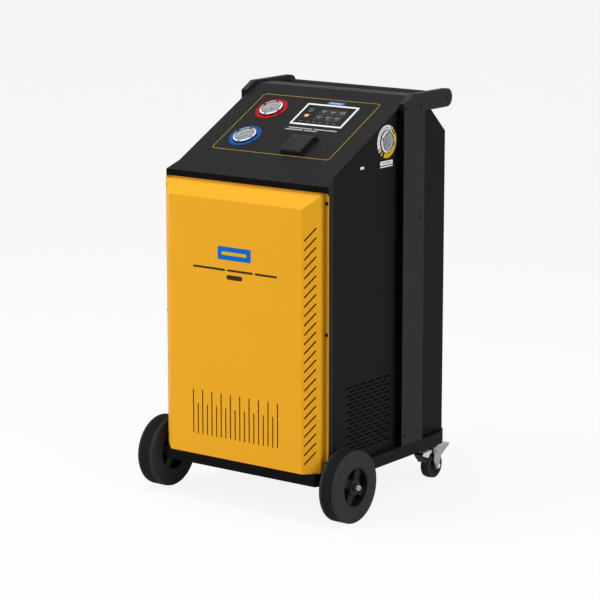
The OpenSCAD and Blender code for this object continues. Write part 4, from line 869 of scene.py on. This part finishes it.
class MACHINE_OT_gauges(bpy.types.Operator):
    """Prints the dials and rings of the three gauges and finishes their cases"""
    bl_idname = "machine.gauges"
    bl_label = "Gauges"

    SWEEP_START = 225
    SWEEP = 270
    DIVISIONS = 50
    DIAL_Z = -1.0 * MM
    FACE_Z = 6.5 * MM
    RING_Z = 0.82 * MM
    # Top of the band of painted shade round a case's lower side
    SKIRT_Z = 4.6 * MM
    RING_EDGE = 0.15 * MM
    POINTER_EDGE = 0.1 * MM
    SCALE_IN = 2.6 * MM
    SCALE_LINE = 0.35 * MM
    # Length and width of a tick in millimetres
    LONG_TICK = (3.4, 0.7)
    SHORT_TICK = (1.8, 0.32)
    NUMERAL = 4.4 * MM
    NUMERAL_IN = 6.4 * MM
    BAND_IN = 10.6 * MM
    BAND_W = 1.2 * MM
    # Ink of each dial's band, and its ends as shares of the sweep
    BANDS = {
        "low": ("blue ink", 0.0, 0.6), "high": ("red ink", 0.55, 1.0), "side": ("green ink", 0.2, 0.7),
    }
    # Inner and outer reach in millimetres, from the dial's well, the bezel or the ring's rim
    # Painted shade on the dial's edge and up the well's wall
    WELL_LINE = (-1.4, -0.62)
    WELL_WALL = (-0.6, -0.05)
    FACE_LINE = (0.2, 1.3)
    # Painted shade round the lower side of the case
    SKIRT = (0.05, 0.7)
    RING_LINE = (0.4, 2.4)
    RIM_BREAK = (-4.2, -0.4)
    RIM_LINE = (-5, -4.2)
    SIDE_LINE = (-8.8, -5.8)
    # Angles in degrees, with the reach of each break on a bezel's face
    FACE_BREAKS = {85: (1.33, 4.4), 160: (1.33, 4.4), 270: (2.6, 5.6), 342: (2.6, 5.6)}
    HALF_BREAK = 8
    RIM_BREAKS = (28, 152, 208, 332)
    HALF_DASH = 4
    RIM_LINES = ((40, 140), (220, 320))
    SIDE_LINE_ENDS = (78, 155)
    # Ends of each arc of the side ring, and the middles of its dashes
    SIDE_ARCS = {"white": (62, 206, (53, 215)), "amber": (-110, 28, (38, 233))}
    SIDE_ARC_IN = 0.8 * MM
    SIDE_ARC_OUT = -0.3 * MM

    def execute(self, context):
        size = context.scene.machine_sizes
        dress("gauge_cases", "white plastic", size.fine_edge, angle=25)
        paint("gauge_dials", "dial ink")
        paint("gauge_lenses", "gauge lens")
        for name, ink in (("low", "blue ink"), ("high", "red ink"), ("side", "black ink")):
            diameter = size.side_gauge if name == "side" else size.panel_gauge
            dress(f"{name}_ring", ink, self.RING_EDGE)
            dress(f"{name}_pointer", "black ink", self.POINTER_EDGE)
            self.scale(name, diameter, size.bezel)
            self.dark_lines(name, diameter, size.bezel)
        for name in ("low", "high"):
            self.panel_ring_marks(name, size.panel_gauge / 2, size.panel_ring / 2)
        self.side_ring_print(size.side_gauge / 2, size.side_ring / 2)
        return {"FINISHED"}

    def angle(self, share):
        """Angle in degrees at a share of the scale."""
        return self.SWEEP_START - self.SWEEP * share

    def ring(self, radius, reach, low, high, start=0, end=360):
        """Ring or arc by its inner and outer reach from a radius."""
        inner, outer = reach
        return arc(radius + inner * MM, radius + outer * MM, start, end, low, high)

    def scale(self, name, diameter, bezel):
        """Ticks, numerals and a coloured band on one dial."""
        place = gauge_frame(name)
        reach = diameter / 2 - bezel - self.SCALE_IN
        low, high = self.DIAL_Z, self.DIAL_Z + PRINT
        ticks = bmesh.new()
        for i in range(self.DIVISIONS + 1):
            long, wide = self.SHORT_TICK if i % 5 else self.LONG_TICK
            turn = Matrix.Rotation(math.radians(self.angle(i / self.DIVISIONS)), 4, "Z")
            middle = Matrix.Translation((reach - long * MM / 2, 0, low))
            join(ticks, printed_bar(long, wide), turn @ middle)
        join(ticks, arc(reach, reach + self.SCALE_LINE, self.angle(1), self.angle(0), low, high))
        for i in range(0, 11, 2):
            turn = math.radians(self.angle(i / 10))
            spot = Vector((math.cos(turn), math.sin(turn), 0)) * (reach - self.NUMERAL_IN)
            spot.z = low + PRINT / 2
            join(ticks, lettering(str(i), self.NUMERAL, PRINT), Matrix.Translation(spot))
        add_piece(f"{name}_scale", ticks, "black ink", place)
        ink, first, last = self.BANDS[name]
        inner = reach - self.BAND_IN
        strip = arc(inner, inner + self.BAND_W, self.angle(last), self.angle(first), low, high)
        add_piece(f"{name}_band", strip, ink, place)

    def dark_lines(self, name, diameter, bezel):
        """Painted shade in the dial's well and round the case's foot; dark marks on the bezel's face."""
        rim = diameter / 2
        hole = rim - bezel
        low, face = self.DIAL_Z, self.FACE_Z
        top = face + PRINT
        # Painted shade on the dial's edge and up the well's wall
        lines = self.ring(hole, self.WELL_LINE, low, low + PRINT)
        join(lines, self.ring(hole, self.WELL_WALL, low, face))
        join(lines, self.ring(hole, self.FACE_LINE, face, top))
        for middle, reach in self.FACE_BREAKS.items():
            ends = (middle - self.HALF_BREAK, middle + self.HALF_BREAK)
            join(lines, self.ring(hole, reach, face, top, *ends))
        # Band of painted shade round the lower side of the case
        join(lines, self.ring(rim, self.SKIRT, self.RING_Z + PRINT, self.SKIRT_Z))
        add_piece(f"{name}_dark_lines", lines, "black ink", gauge_frame(name))

    def panel_ring_marks(self, name, inner, rim):
        """Dark line inside the coloured ring, and short breaks at its rim."""
        low, high = self.RING_Z, self.RING_Z + PRINT
        marks = self.ring(inner, self.RING_LINE, low, high)
        for middle in self.RIM_BREAKS:
            ends = (middle - self.HALF_DASH, middle + self.HALF_DASH)
            join(marks, self.ring(rim, self.RIM_BREAK, low, high, *ends))
        for ends in self.RIM_LINES:
            join(marks, self.ring(rim, self.RIM_LINE, low, high, *ends))
        add_piece(f"{name}_ring_marks", marks, "black ink", gauge_frame(name))

    def side_ring_print(self, inner, rim):
        """White and yellow arcs of the side gauge's ring, with dashes between their ends."""
        low, high = self.RING_Z, self.RING_Z + PRINT
        place = gauge_frame("side")
        radii = (inner + self.SIDE_ARC_IN, rim + self.SIDE_ARC_OUT)
        for name, (first, last, dashes) in self.SIDE_ARCS.items():
            band = arc(*radii, first, last, low, high)
            for middle in dashes:
                join(band, arc(*radii, middle - self.HALF_DASH, middle + self.HALF_DASH, low, high))
            add_piece(f"side_ring_{name}", band, f"{name} ink", place)
        line = self.ring(rim, self.SIDE_LINE, high, high + PRINT, *self.SIDE_LINE_ENDS)
        add_piece("side_ring_line", line, "grey ink", place)


class MACHINE_OT_control_panel(bpy.types.Operator):
    """Finishes the display and the printer and prints the control panel"""
    bl_idname = "machine.control_panel"
    bl_label = "Control panel"

    BEZEL_EDGE = 0.6 * MM
    SCREEN_EDGE = 0.1 * MM
    LID_EDGE = 0.9 * MM
    SCREEN_Z = 1.7 * MM
    BOX = (25 * MM, 22 * MM)
    BOX_CORNER = 2 * MM
    BOX_LINE = 0.5 * MM
    # Places on the display's page in millimetres from its middle
    BOX_COLUMNS = (-12, 18, 48)
    BOX_ROWS = (-12, 16)
    VALUE_RISE = 4
    UNIT_RISE = -3
    MENU_COLUMN = -58
    MENU_ROWS = (26, 20, 14)
    FOOT_COLUMNS = (-58, -36, -14, 8, 30, 52)
    FOOT_ROW = -34
    BUTTON_PLACE = (-57, -6)
    MARK_PLACE = (55, 20, 2 * PRINT / MM)
    # Width, height and corner of each printed bar in millimetres
    VALUE_BAR = (16, 3.4)
    UNIT_BAR = (11, 2)
    MENU_BAR = (14, 1.6)
    FOOT_BAR = (12, 1.4)
    BUTTON = (14, 12, 2)
    MARK = (5, 3)
    BADGE_BAR = (40, 5, 1)
    SLIT = (56, 1.2, 0.4)
    OUTLINE_CORNER = 9 * MM
    BADGE = (58 * MM, 14 * MM, 2 * MM)
    BADGE_S = 62 * MM
    BADGE_T = 0.5 * MM
    BADGE_EDGE = 0.2 * MM
    RULES_S = -65 * MM
    # Middle, width and place up the slope of each rule in millimetres
    RULES = ((-40, 80, 0), (44, 76, 0), (-56, 60, -9), (0, 42, -9))
    RULE_H = 4.5
    RULE_CORNER = 1
    LID_TOP = 6.7 * MM
    SLIT_S = -27 * MM
    SQUARE_S = -3 * MM
    SQUARE = 34 * MM
    SQUARE_CORNER = 3 * MM
    SQUARE_LINE = 0.7 * MM

    def execute(self, context):
        size = context.scene.machine_sizes
        dress("display_bezel", "white plastic", self.BEZEL_EDGE, segments=3)
        dress("display_screen", "screen glass", self.SCREEN_EDGE)
        dress("printer_body", "black plastic", size.fine_edge)
        dress("printer_lid", "lid plastic", self.LID_EDGE, segments=3)
        paint("paper_roll", "roll paper")
        self.screen_page()
        self.panel_print(size)
        self.lid_details()
        return {"FINISHED"}

    def screen_page(self):
        """Plain page of the display: a menu column and six reading boxes."""
        x, s = panel_place("display_screen")
        place = on_panel(x, s, self.SCREEN_Z)
        lines = bmesh.new()
        for row in self.BOX_ROWS:
            for column in self.BOX_COLUMNS:
                box = outline(*self.BOX, self.BOX_CORNER, self.BOX_LINE, PRINT)
                join(lines, box, moved(column, row))
                join(lines, printed_bar(*self.VALUE_BAR), moved(column, row + self.VALUE_RISE))
                join(lines, printed_bar(*self.UNIT_BAR), moved(column, row + self.UNIT_RISE))
        for row in self.MENU_ROWS:
            join(lines, printed_bar(*self.MENU_BAR), moved(self.MENU_COLUMN, row))
        for column in self.FOOT_COLUMNS:
            join(lines, printed_bar(*self.FOOT_BAR), moved(column, self.FOOT_ROW))
        add_piece("screen_lines", lines, "screen white", place)
        icons = bmesh.new()
        join(icons, printed_bar(*self.BUTTON), moved(*self.BUTTON_PLACE))
        join(icons, printed_bar(*self.MARK), moved(*self.MARK_PLACE))
        add_piece("screen_icons", icons, "screen amber", place)

    def panel_print(self, size):
        """Gold outline, blank badge and plain rules."""
        line = outline(size.outline_w, size.outline_h, self.OUTLINE_CORNER, size.outline_line, PRINT)
        add_piece("panel_outline", line, "gold ink", on_panel(0, size.outline_s))
        x, s = panel_place("display_screen")
        badge = plate(*self.BADGE, self.BADGE_T, self.BADGE_EDGE)
        add_piece("panel_badge", badge, "badge ink", on_panel(x, s + self.BADGE_S))
        bar = printed_bar(*self.BADGE_BAR)
        add_piece("panel_badge_bar", bar, "amber ink", on_panel(x, s + self.BADGE_S, self.BADGE_T))
        rules = bmesh.new()
        for middle, wide, rise in self.RULES:
            join(rules, printed_bar(wide, self.RULE_H, self.RULE_CORNER), moved(middle, rise))
        add_piece("panel_rules", rules, "grey ink", on_panel(x, s + self.RULES_S))

    def lid_details(self):
        """Paper slit and a faint square on the printer's lid."""
        x, s = panel_place("printer_lid")
        hinge = Vector(JOINTS["printer_lid_lift"]["pos_m"])
        top = (hinge - PANEL_EDGE).dot(PANEL_UP) + self.LID_TOP
        slit = printed_bar(*self.SLIT)
        add_piece("lid_slit", slit, "black ink", on_panel(x, s + self.SLIT_S, top), "lid")
        square = outline(self.SQUARE, self.SQUARE, self.SQUARE_CORNER, self.SQUARE_LINE, PRINT)
        add_piece("lid_square", square, "black ink", on_panel(x, s + self.SQUARE_S, top), "lid")


class MACHINE_OT_labels(bpy.types.Operator):
    """Adds the blank badge, the plain rules and the blank labels"""
    bl_idname = "machine.labels"
    bl_label = "Labels"

    BADGE_CORNER = 3 * MM
    BADGE_T = 0.8 * MM
    BADGE_EDGE = 0.3 * MM
    BAR_MARGIN = 28 * MM
    BAR_CORNER = 2 * MM
    RULES_DROP = 46 * MM
    # Middle and width of each rule in millimetres
    RULES = ((-87, 110), (19, 88), (107, 74))
    RULE_H = 6
    RULE_CORNER = 2
    # Width, height and corner of each printed bar in millimetres
    ROUND_BAR = (54, 13, 6.2)
    ROUND_BAR_DROP = 19
    LABEL_LINE = (60, 3.6)
    LABEL_LINE_DROP = 10
    LABEL_RULE = (44, 3, 1)
    LABEL = (59 * MM, 11.5 * MM, 2 * MM)
    LABEL_T = 0.25 * MM
    LABEL_DROP = 58 * MM
    TAG = (18 * MM, 7 * MM, 1 * MM)
    TAG_BACK = 2 * MM
    TAG_RISE = 14 * MM
    READER_EDGE = 0.2 * MM

    def execute(self, context):
        size = context.scene.machine_sizes
        badge = plate(size.badge_w, size.badge_h, self.BADGE_CORNER, self.BADGE_T, self.BADGE_EDGE)
        add_piece("front_badge", badge, "badge ink", on_front(0, size.badge_z))
        bar = plate(size.badge_w - self.BAR_MARGIN, size.badge_h / 4, self.BAR_CORNER, PRINT)
        add_piece("front_badge_bar", bar, "amber ink", on_front(0, size.badge_z, self.BADGE_T))
        rules = bmesh.new()
        for middle, wide in self.RULES:
            join(rules, printed_bar(wide, self.RULE_H, self.RULE_CORNER), moved(middle, 0))
        join(rules, printed_bar(*self.ROUND_BAR), moved(0, -self.ROUND_BAR_DROP))
        add_piece("front_rules", rules, "umber ink", on_front(0, size.badge_z - self.RULES_DROP))
        self.side_labels()
        dress("card_reader", "black plastic", self.READER_EDGE)
        return {"FINISHED"}

    def side_labels(self):
        """Blank labels under the side gauge and over the card reader."""
        gauge = Vector(JOINTS["side_pointer_sweep"]["pos_m"])
        under = gauge.z - self.LABEL_DROP
        label = plate(*self.LABEL, self.LABEL_T)
        join(label, printed_bar(*self.LABEL_LINE), moved(0, -self.LABEL_LINE_DROP))
        add_piece("side_label", label, "white ink", on_right_side(gauge.y, under))
        rule = printed_bar(*self.LABEL_RULE)
        add_piece("side_label_rule", rule, "grey ink", on_right_side(gauge.y, under, self.LABEL_T))
        low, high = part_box("card_reader")
        middle = (low + high) / 2
        tag = plate(*self.TAG, self.LABEL_T)
        spot = on_right_side(middle.y + self.TAG_BACK, middle.z + self.TAG_RISE)
        add_piece("card_label", tag, "white ink", spot)


class MACHINE_OT_wheels(bpy.types.Operator):
    """Finishes the front wheels and their axle, and adds the hub caps"""
    bl_idname = "machine.wheels"
    bl_label = "Front wheels"

    HUB_SINK = 7 * MM
    CAP_BORE = 9.4 * MM
    CAP_R = 23.5 * MM
    CAP_T = 3 * MM

    def execute(self, context):
        size = context.scene.machine_sizes
        for side in SIDES:
            dress(f"tyre_{side}", "tyre rubber", size.cover_edge, angle=25)
            dress(f"rim_{side}", "rim plastic", size.plastic_edge)
            self.hub_cap(side, size.plastic_edge)
        dress("front_axle", "bare steel", size.fine_edge)
        return {"FINISHED"}

    def hub_cap(self, side, edge):
        """Raised cap round the boss of a hub."""
        cap = arc(self.CAP_BORE, self.CAP_R, 0, 360, 0, self.CAP_T)
        inside = self.CAP_BORE * 2
        rim = [e for e in cap.edges if all(v.co.z > 0 and v.co.xy.length > inside for v in e.verts)]
        round_off(cap, rim, edge)
        low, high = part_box(f"rim_{side}")
        middle = (low + high) / 2
        out = X_AXIS if side == "right" else -X_AXIS
        face = middle + out * ((high.x - low.x) / 2 - self.HUB_SINK)
        place = axes_frame(face, Y_AXIS, out)
        add_piece(f"hub_cap_{side}", cap, "rim plastic", place, f"wheel_{side}")


class MACHINE_OT_casters(bpy.types.Operator):
    """Finishes the casters with their forks, rollers and brake pedals"""
    bl_idname = "machine.casters"
    bl_label = "Casters"

    TREAD_W = 26 * MM
    TREAD_L = 38 * MM
    TREAD_CORNER = 4 * MM
    TREAD_T = 1.2 * MM
    TREAD_EDGE = 0.4 * MM
    TREAD_PLACE = Vector((0, -32 * MM, 3.9 * MM))
    TREAD_UP = (0, -0.068, 1)
    HOOD_HALF = 15 * MM
    CHEEK_T = 0.8 * MM
    # Outline of a cheek behind and above its pivot in millimetres
    CHEEK = (
        (-10, 4.4), (-30, 3.4), (-53.6, 1.4), (-57, -2.8), (-55.4, -5.4),
        (-27.4, -16.6), (-26.4, -14.2), (-20.3, -6.6), (-10, -4.4),
    )

    def execute(self, context):
        size = context.scene.machine_sizes
        dress("caster_stems", "zinc plate", size.fine_edge)
        for side in SIDES:
            dress(f"fork_{side}", "fork plate", size.plastic_edge, segments=3)
            dress(f"caster_axle_{side}", "zinc plate", size.fine_edge)
            dress(f"caster_wheel_{side}", "tyre rubber", size.plastic_edge, segments=3)
            dress(f"pedal_{side}", "black plastic", size.pedal_edge, segments=3)
            pivot = Vector(JOINTS[f"brake_{side}_press"]["pos_m"])
            self.tread_plate(side, pivot)
            self.cheeks(side, pivot)
        return {"FINISHED"}

    def tread_plate(self, side, pivot):
        """Plated tread on top of a brake pedal's hood."""
        tread = plate(self.TREAD_W, self.TREAD_L, self.TREAD_CORNER, self.TREAD_T, self.TREAD_EDGE)
        place = axes_frame(pivot + self.TREAD_PLACE, X_AXIS, self.TREAD_UP)
        add_piece(f"pedal_tread_{side}", tread, "zinc plate", place, f"brake_{side}")

    def cheeks(self, side, pivot):
        """Plated cheeks on both sides of a brake pedal's hood, above its black toe."""
        pair = bmesh.new()
        for sign in (-1, 1):
            cheek = bmesh.new()
            corners = [cheek.verts.new((sign * y * MM, z * MM, 0)) for y, z in self.CHEEK]
            thicken(cheek, [cheek.faces.new(corners)], self.CHEEK_T)
            out = sign * X_AXIS
            join(pair, cheek, axes_frame(pivot + out * self.HOOD_HALF, sign * Y_AXIS, out))
        add_piece(f"pedal_cheeks_{side}", pair, "zinc plate", body=f"brake_{side}")


class MACHINE_OT_rear_fittings(bpy.types.Operator):
    """Finishes the mains inlet, the hose unions and the fan"""
    bl_idname = "machine.rear_fittings"
    bl_label = "Rear fittings"

    def execute(self, context):
        size = context.scene.machine_sizes
        for node in ("mains_inlet", "rocker", "fan_blades"):
            dress(node, "black plastic", size.fine_edge)
        for node in ("low_union", "high_union"):
            dress(node, "turned brass", size.fine_edge)
        dress("fan_guard", "post coat", edge=0)
        paint("fan_motor", "bare steel")
        return {"FINISHED"}


class MACHINE_OT_inner_units(bpy.types.Operator):
    """Finishes the units inside the cabinet"""
    bl_idname = "machine.inner_units"
    bl_label = "Inner units"

    def execute(self, context):
        finishes = {
            "inner_shelf": "bare steel", "storage_tank": "bare steel",
            "compressor": "compressor enamel", "condenser": "cast aluminium",
            "vacuum_pump": "cast aluminium", "scale_platform": "cast aluminium",
            "filter_drier": "cast aluminium", "valve_manifold": "cast aluminium",
            "control_board": "board green", "power_supply": "cast aluminium",
        }
        for node, name in finishes.items():
            paint(node, name)
        return {"FINISHED"}


OPERATORS = (
    MACHINE_OT_finishes, MACHINE_OT_stage, MACHINE_OT_cabinet, MACHINE_OT_vent_filters,
    MACHINE_OT_fasteners, MACHINE_OT_gauges, MACHINE_OT_control_panel, MACHINE_OT_labels,
    MACHINE_OT_wheels, MACHINE_OT_casters, MACHINE_OT_rear_fittings, MACHINE_OT_inner_units,
)
SETTINGS = {
    "machine_colours": MachineColours, "machine_sizes": MachineSizes, "machine_stage": MachineStage,
}


class MACHINE_PT_panel(bpy.types.Panel):
    """Lists the machine's operators and settings"""
    bl_idname = "MACHINE_PT_panel"
    bl_label = "Recovery machine"
    bl_space_type = "VIEW_3D"
    bl_region_type = "UI"
    bl_category = "Machine"

    def draw(self, context):
        for operator in OPERATORS:
            self.layout.operator(operator.bl_idname)
        for name, group in SETTINGS.items():
            settings = getattr(context.scene, name)
            box = self.layout.box()
            for label in group.__annotations__:
                box.prop(settings, label)


CLASSES = (*SETTINGS.values(), *OPERATORS, MACHINE_PT_panel)


def register():
    """Registers the classes and hangs the settings on the scene."""
    for item in CLASSES:
        bpy.utils.register_class(item)
    for name, group in SETTINGS.items():
        setattr(bpy.types.Scene, name, bpy.props.PointerProperty(type=group))


def unregister():
    """Takes back what register did."""
    for name in SETTINGS:
        delattr(bpy.types.Scene, name)
    for item in reversed(CLASSES):
        bpy.utils.unregister_class(item)


def main():
    """Builds the whole machine."""
    register()
    for operator in OPERATORS:
        group, name = operator.bl_idname.split(".")
        getattr(getattr(bpy.ops, group), name)()


if __name__ == "__main__":
    main()
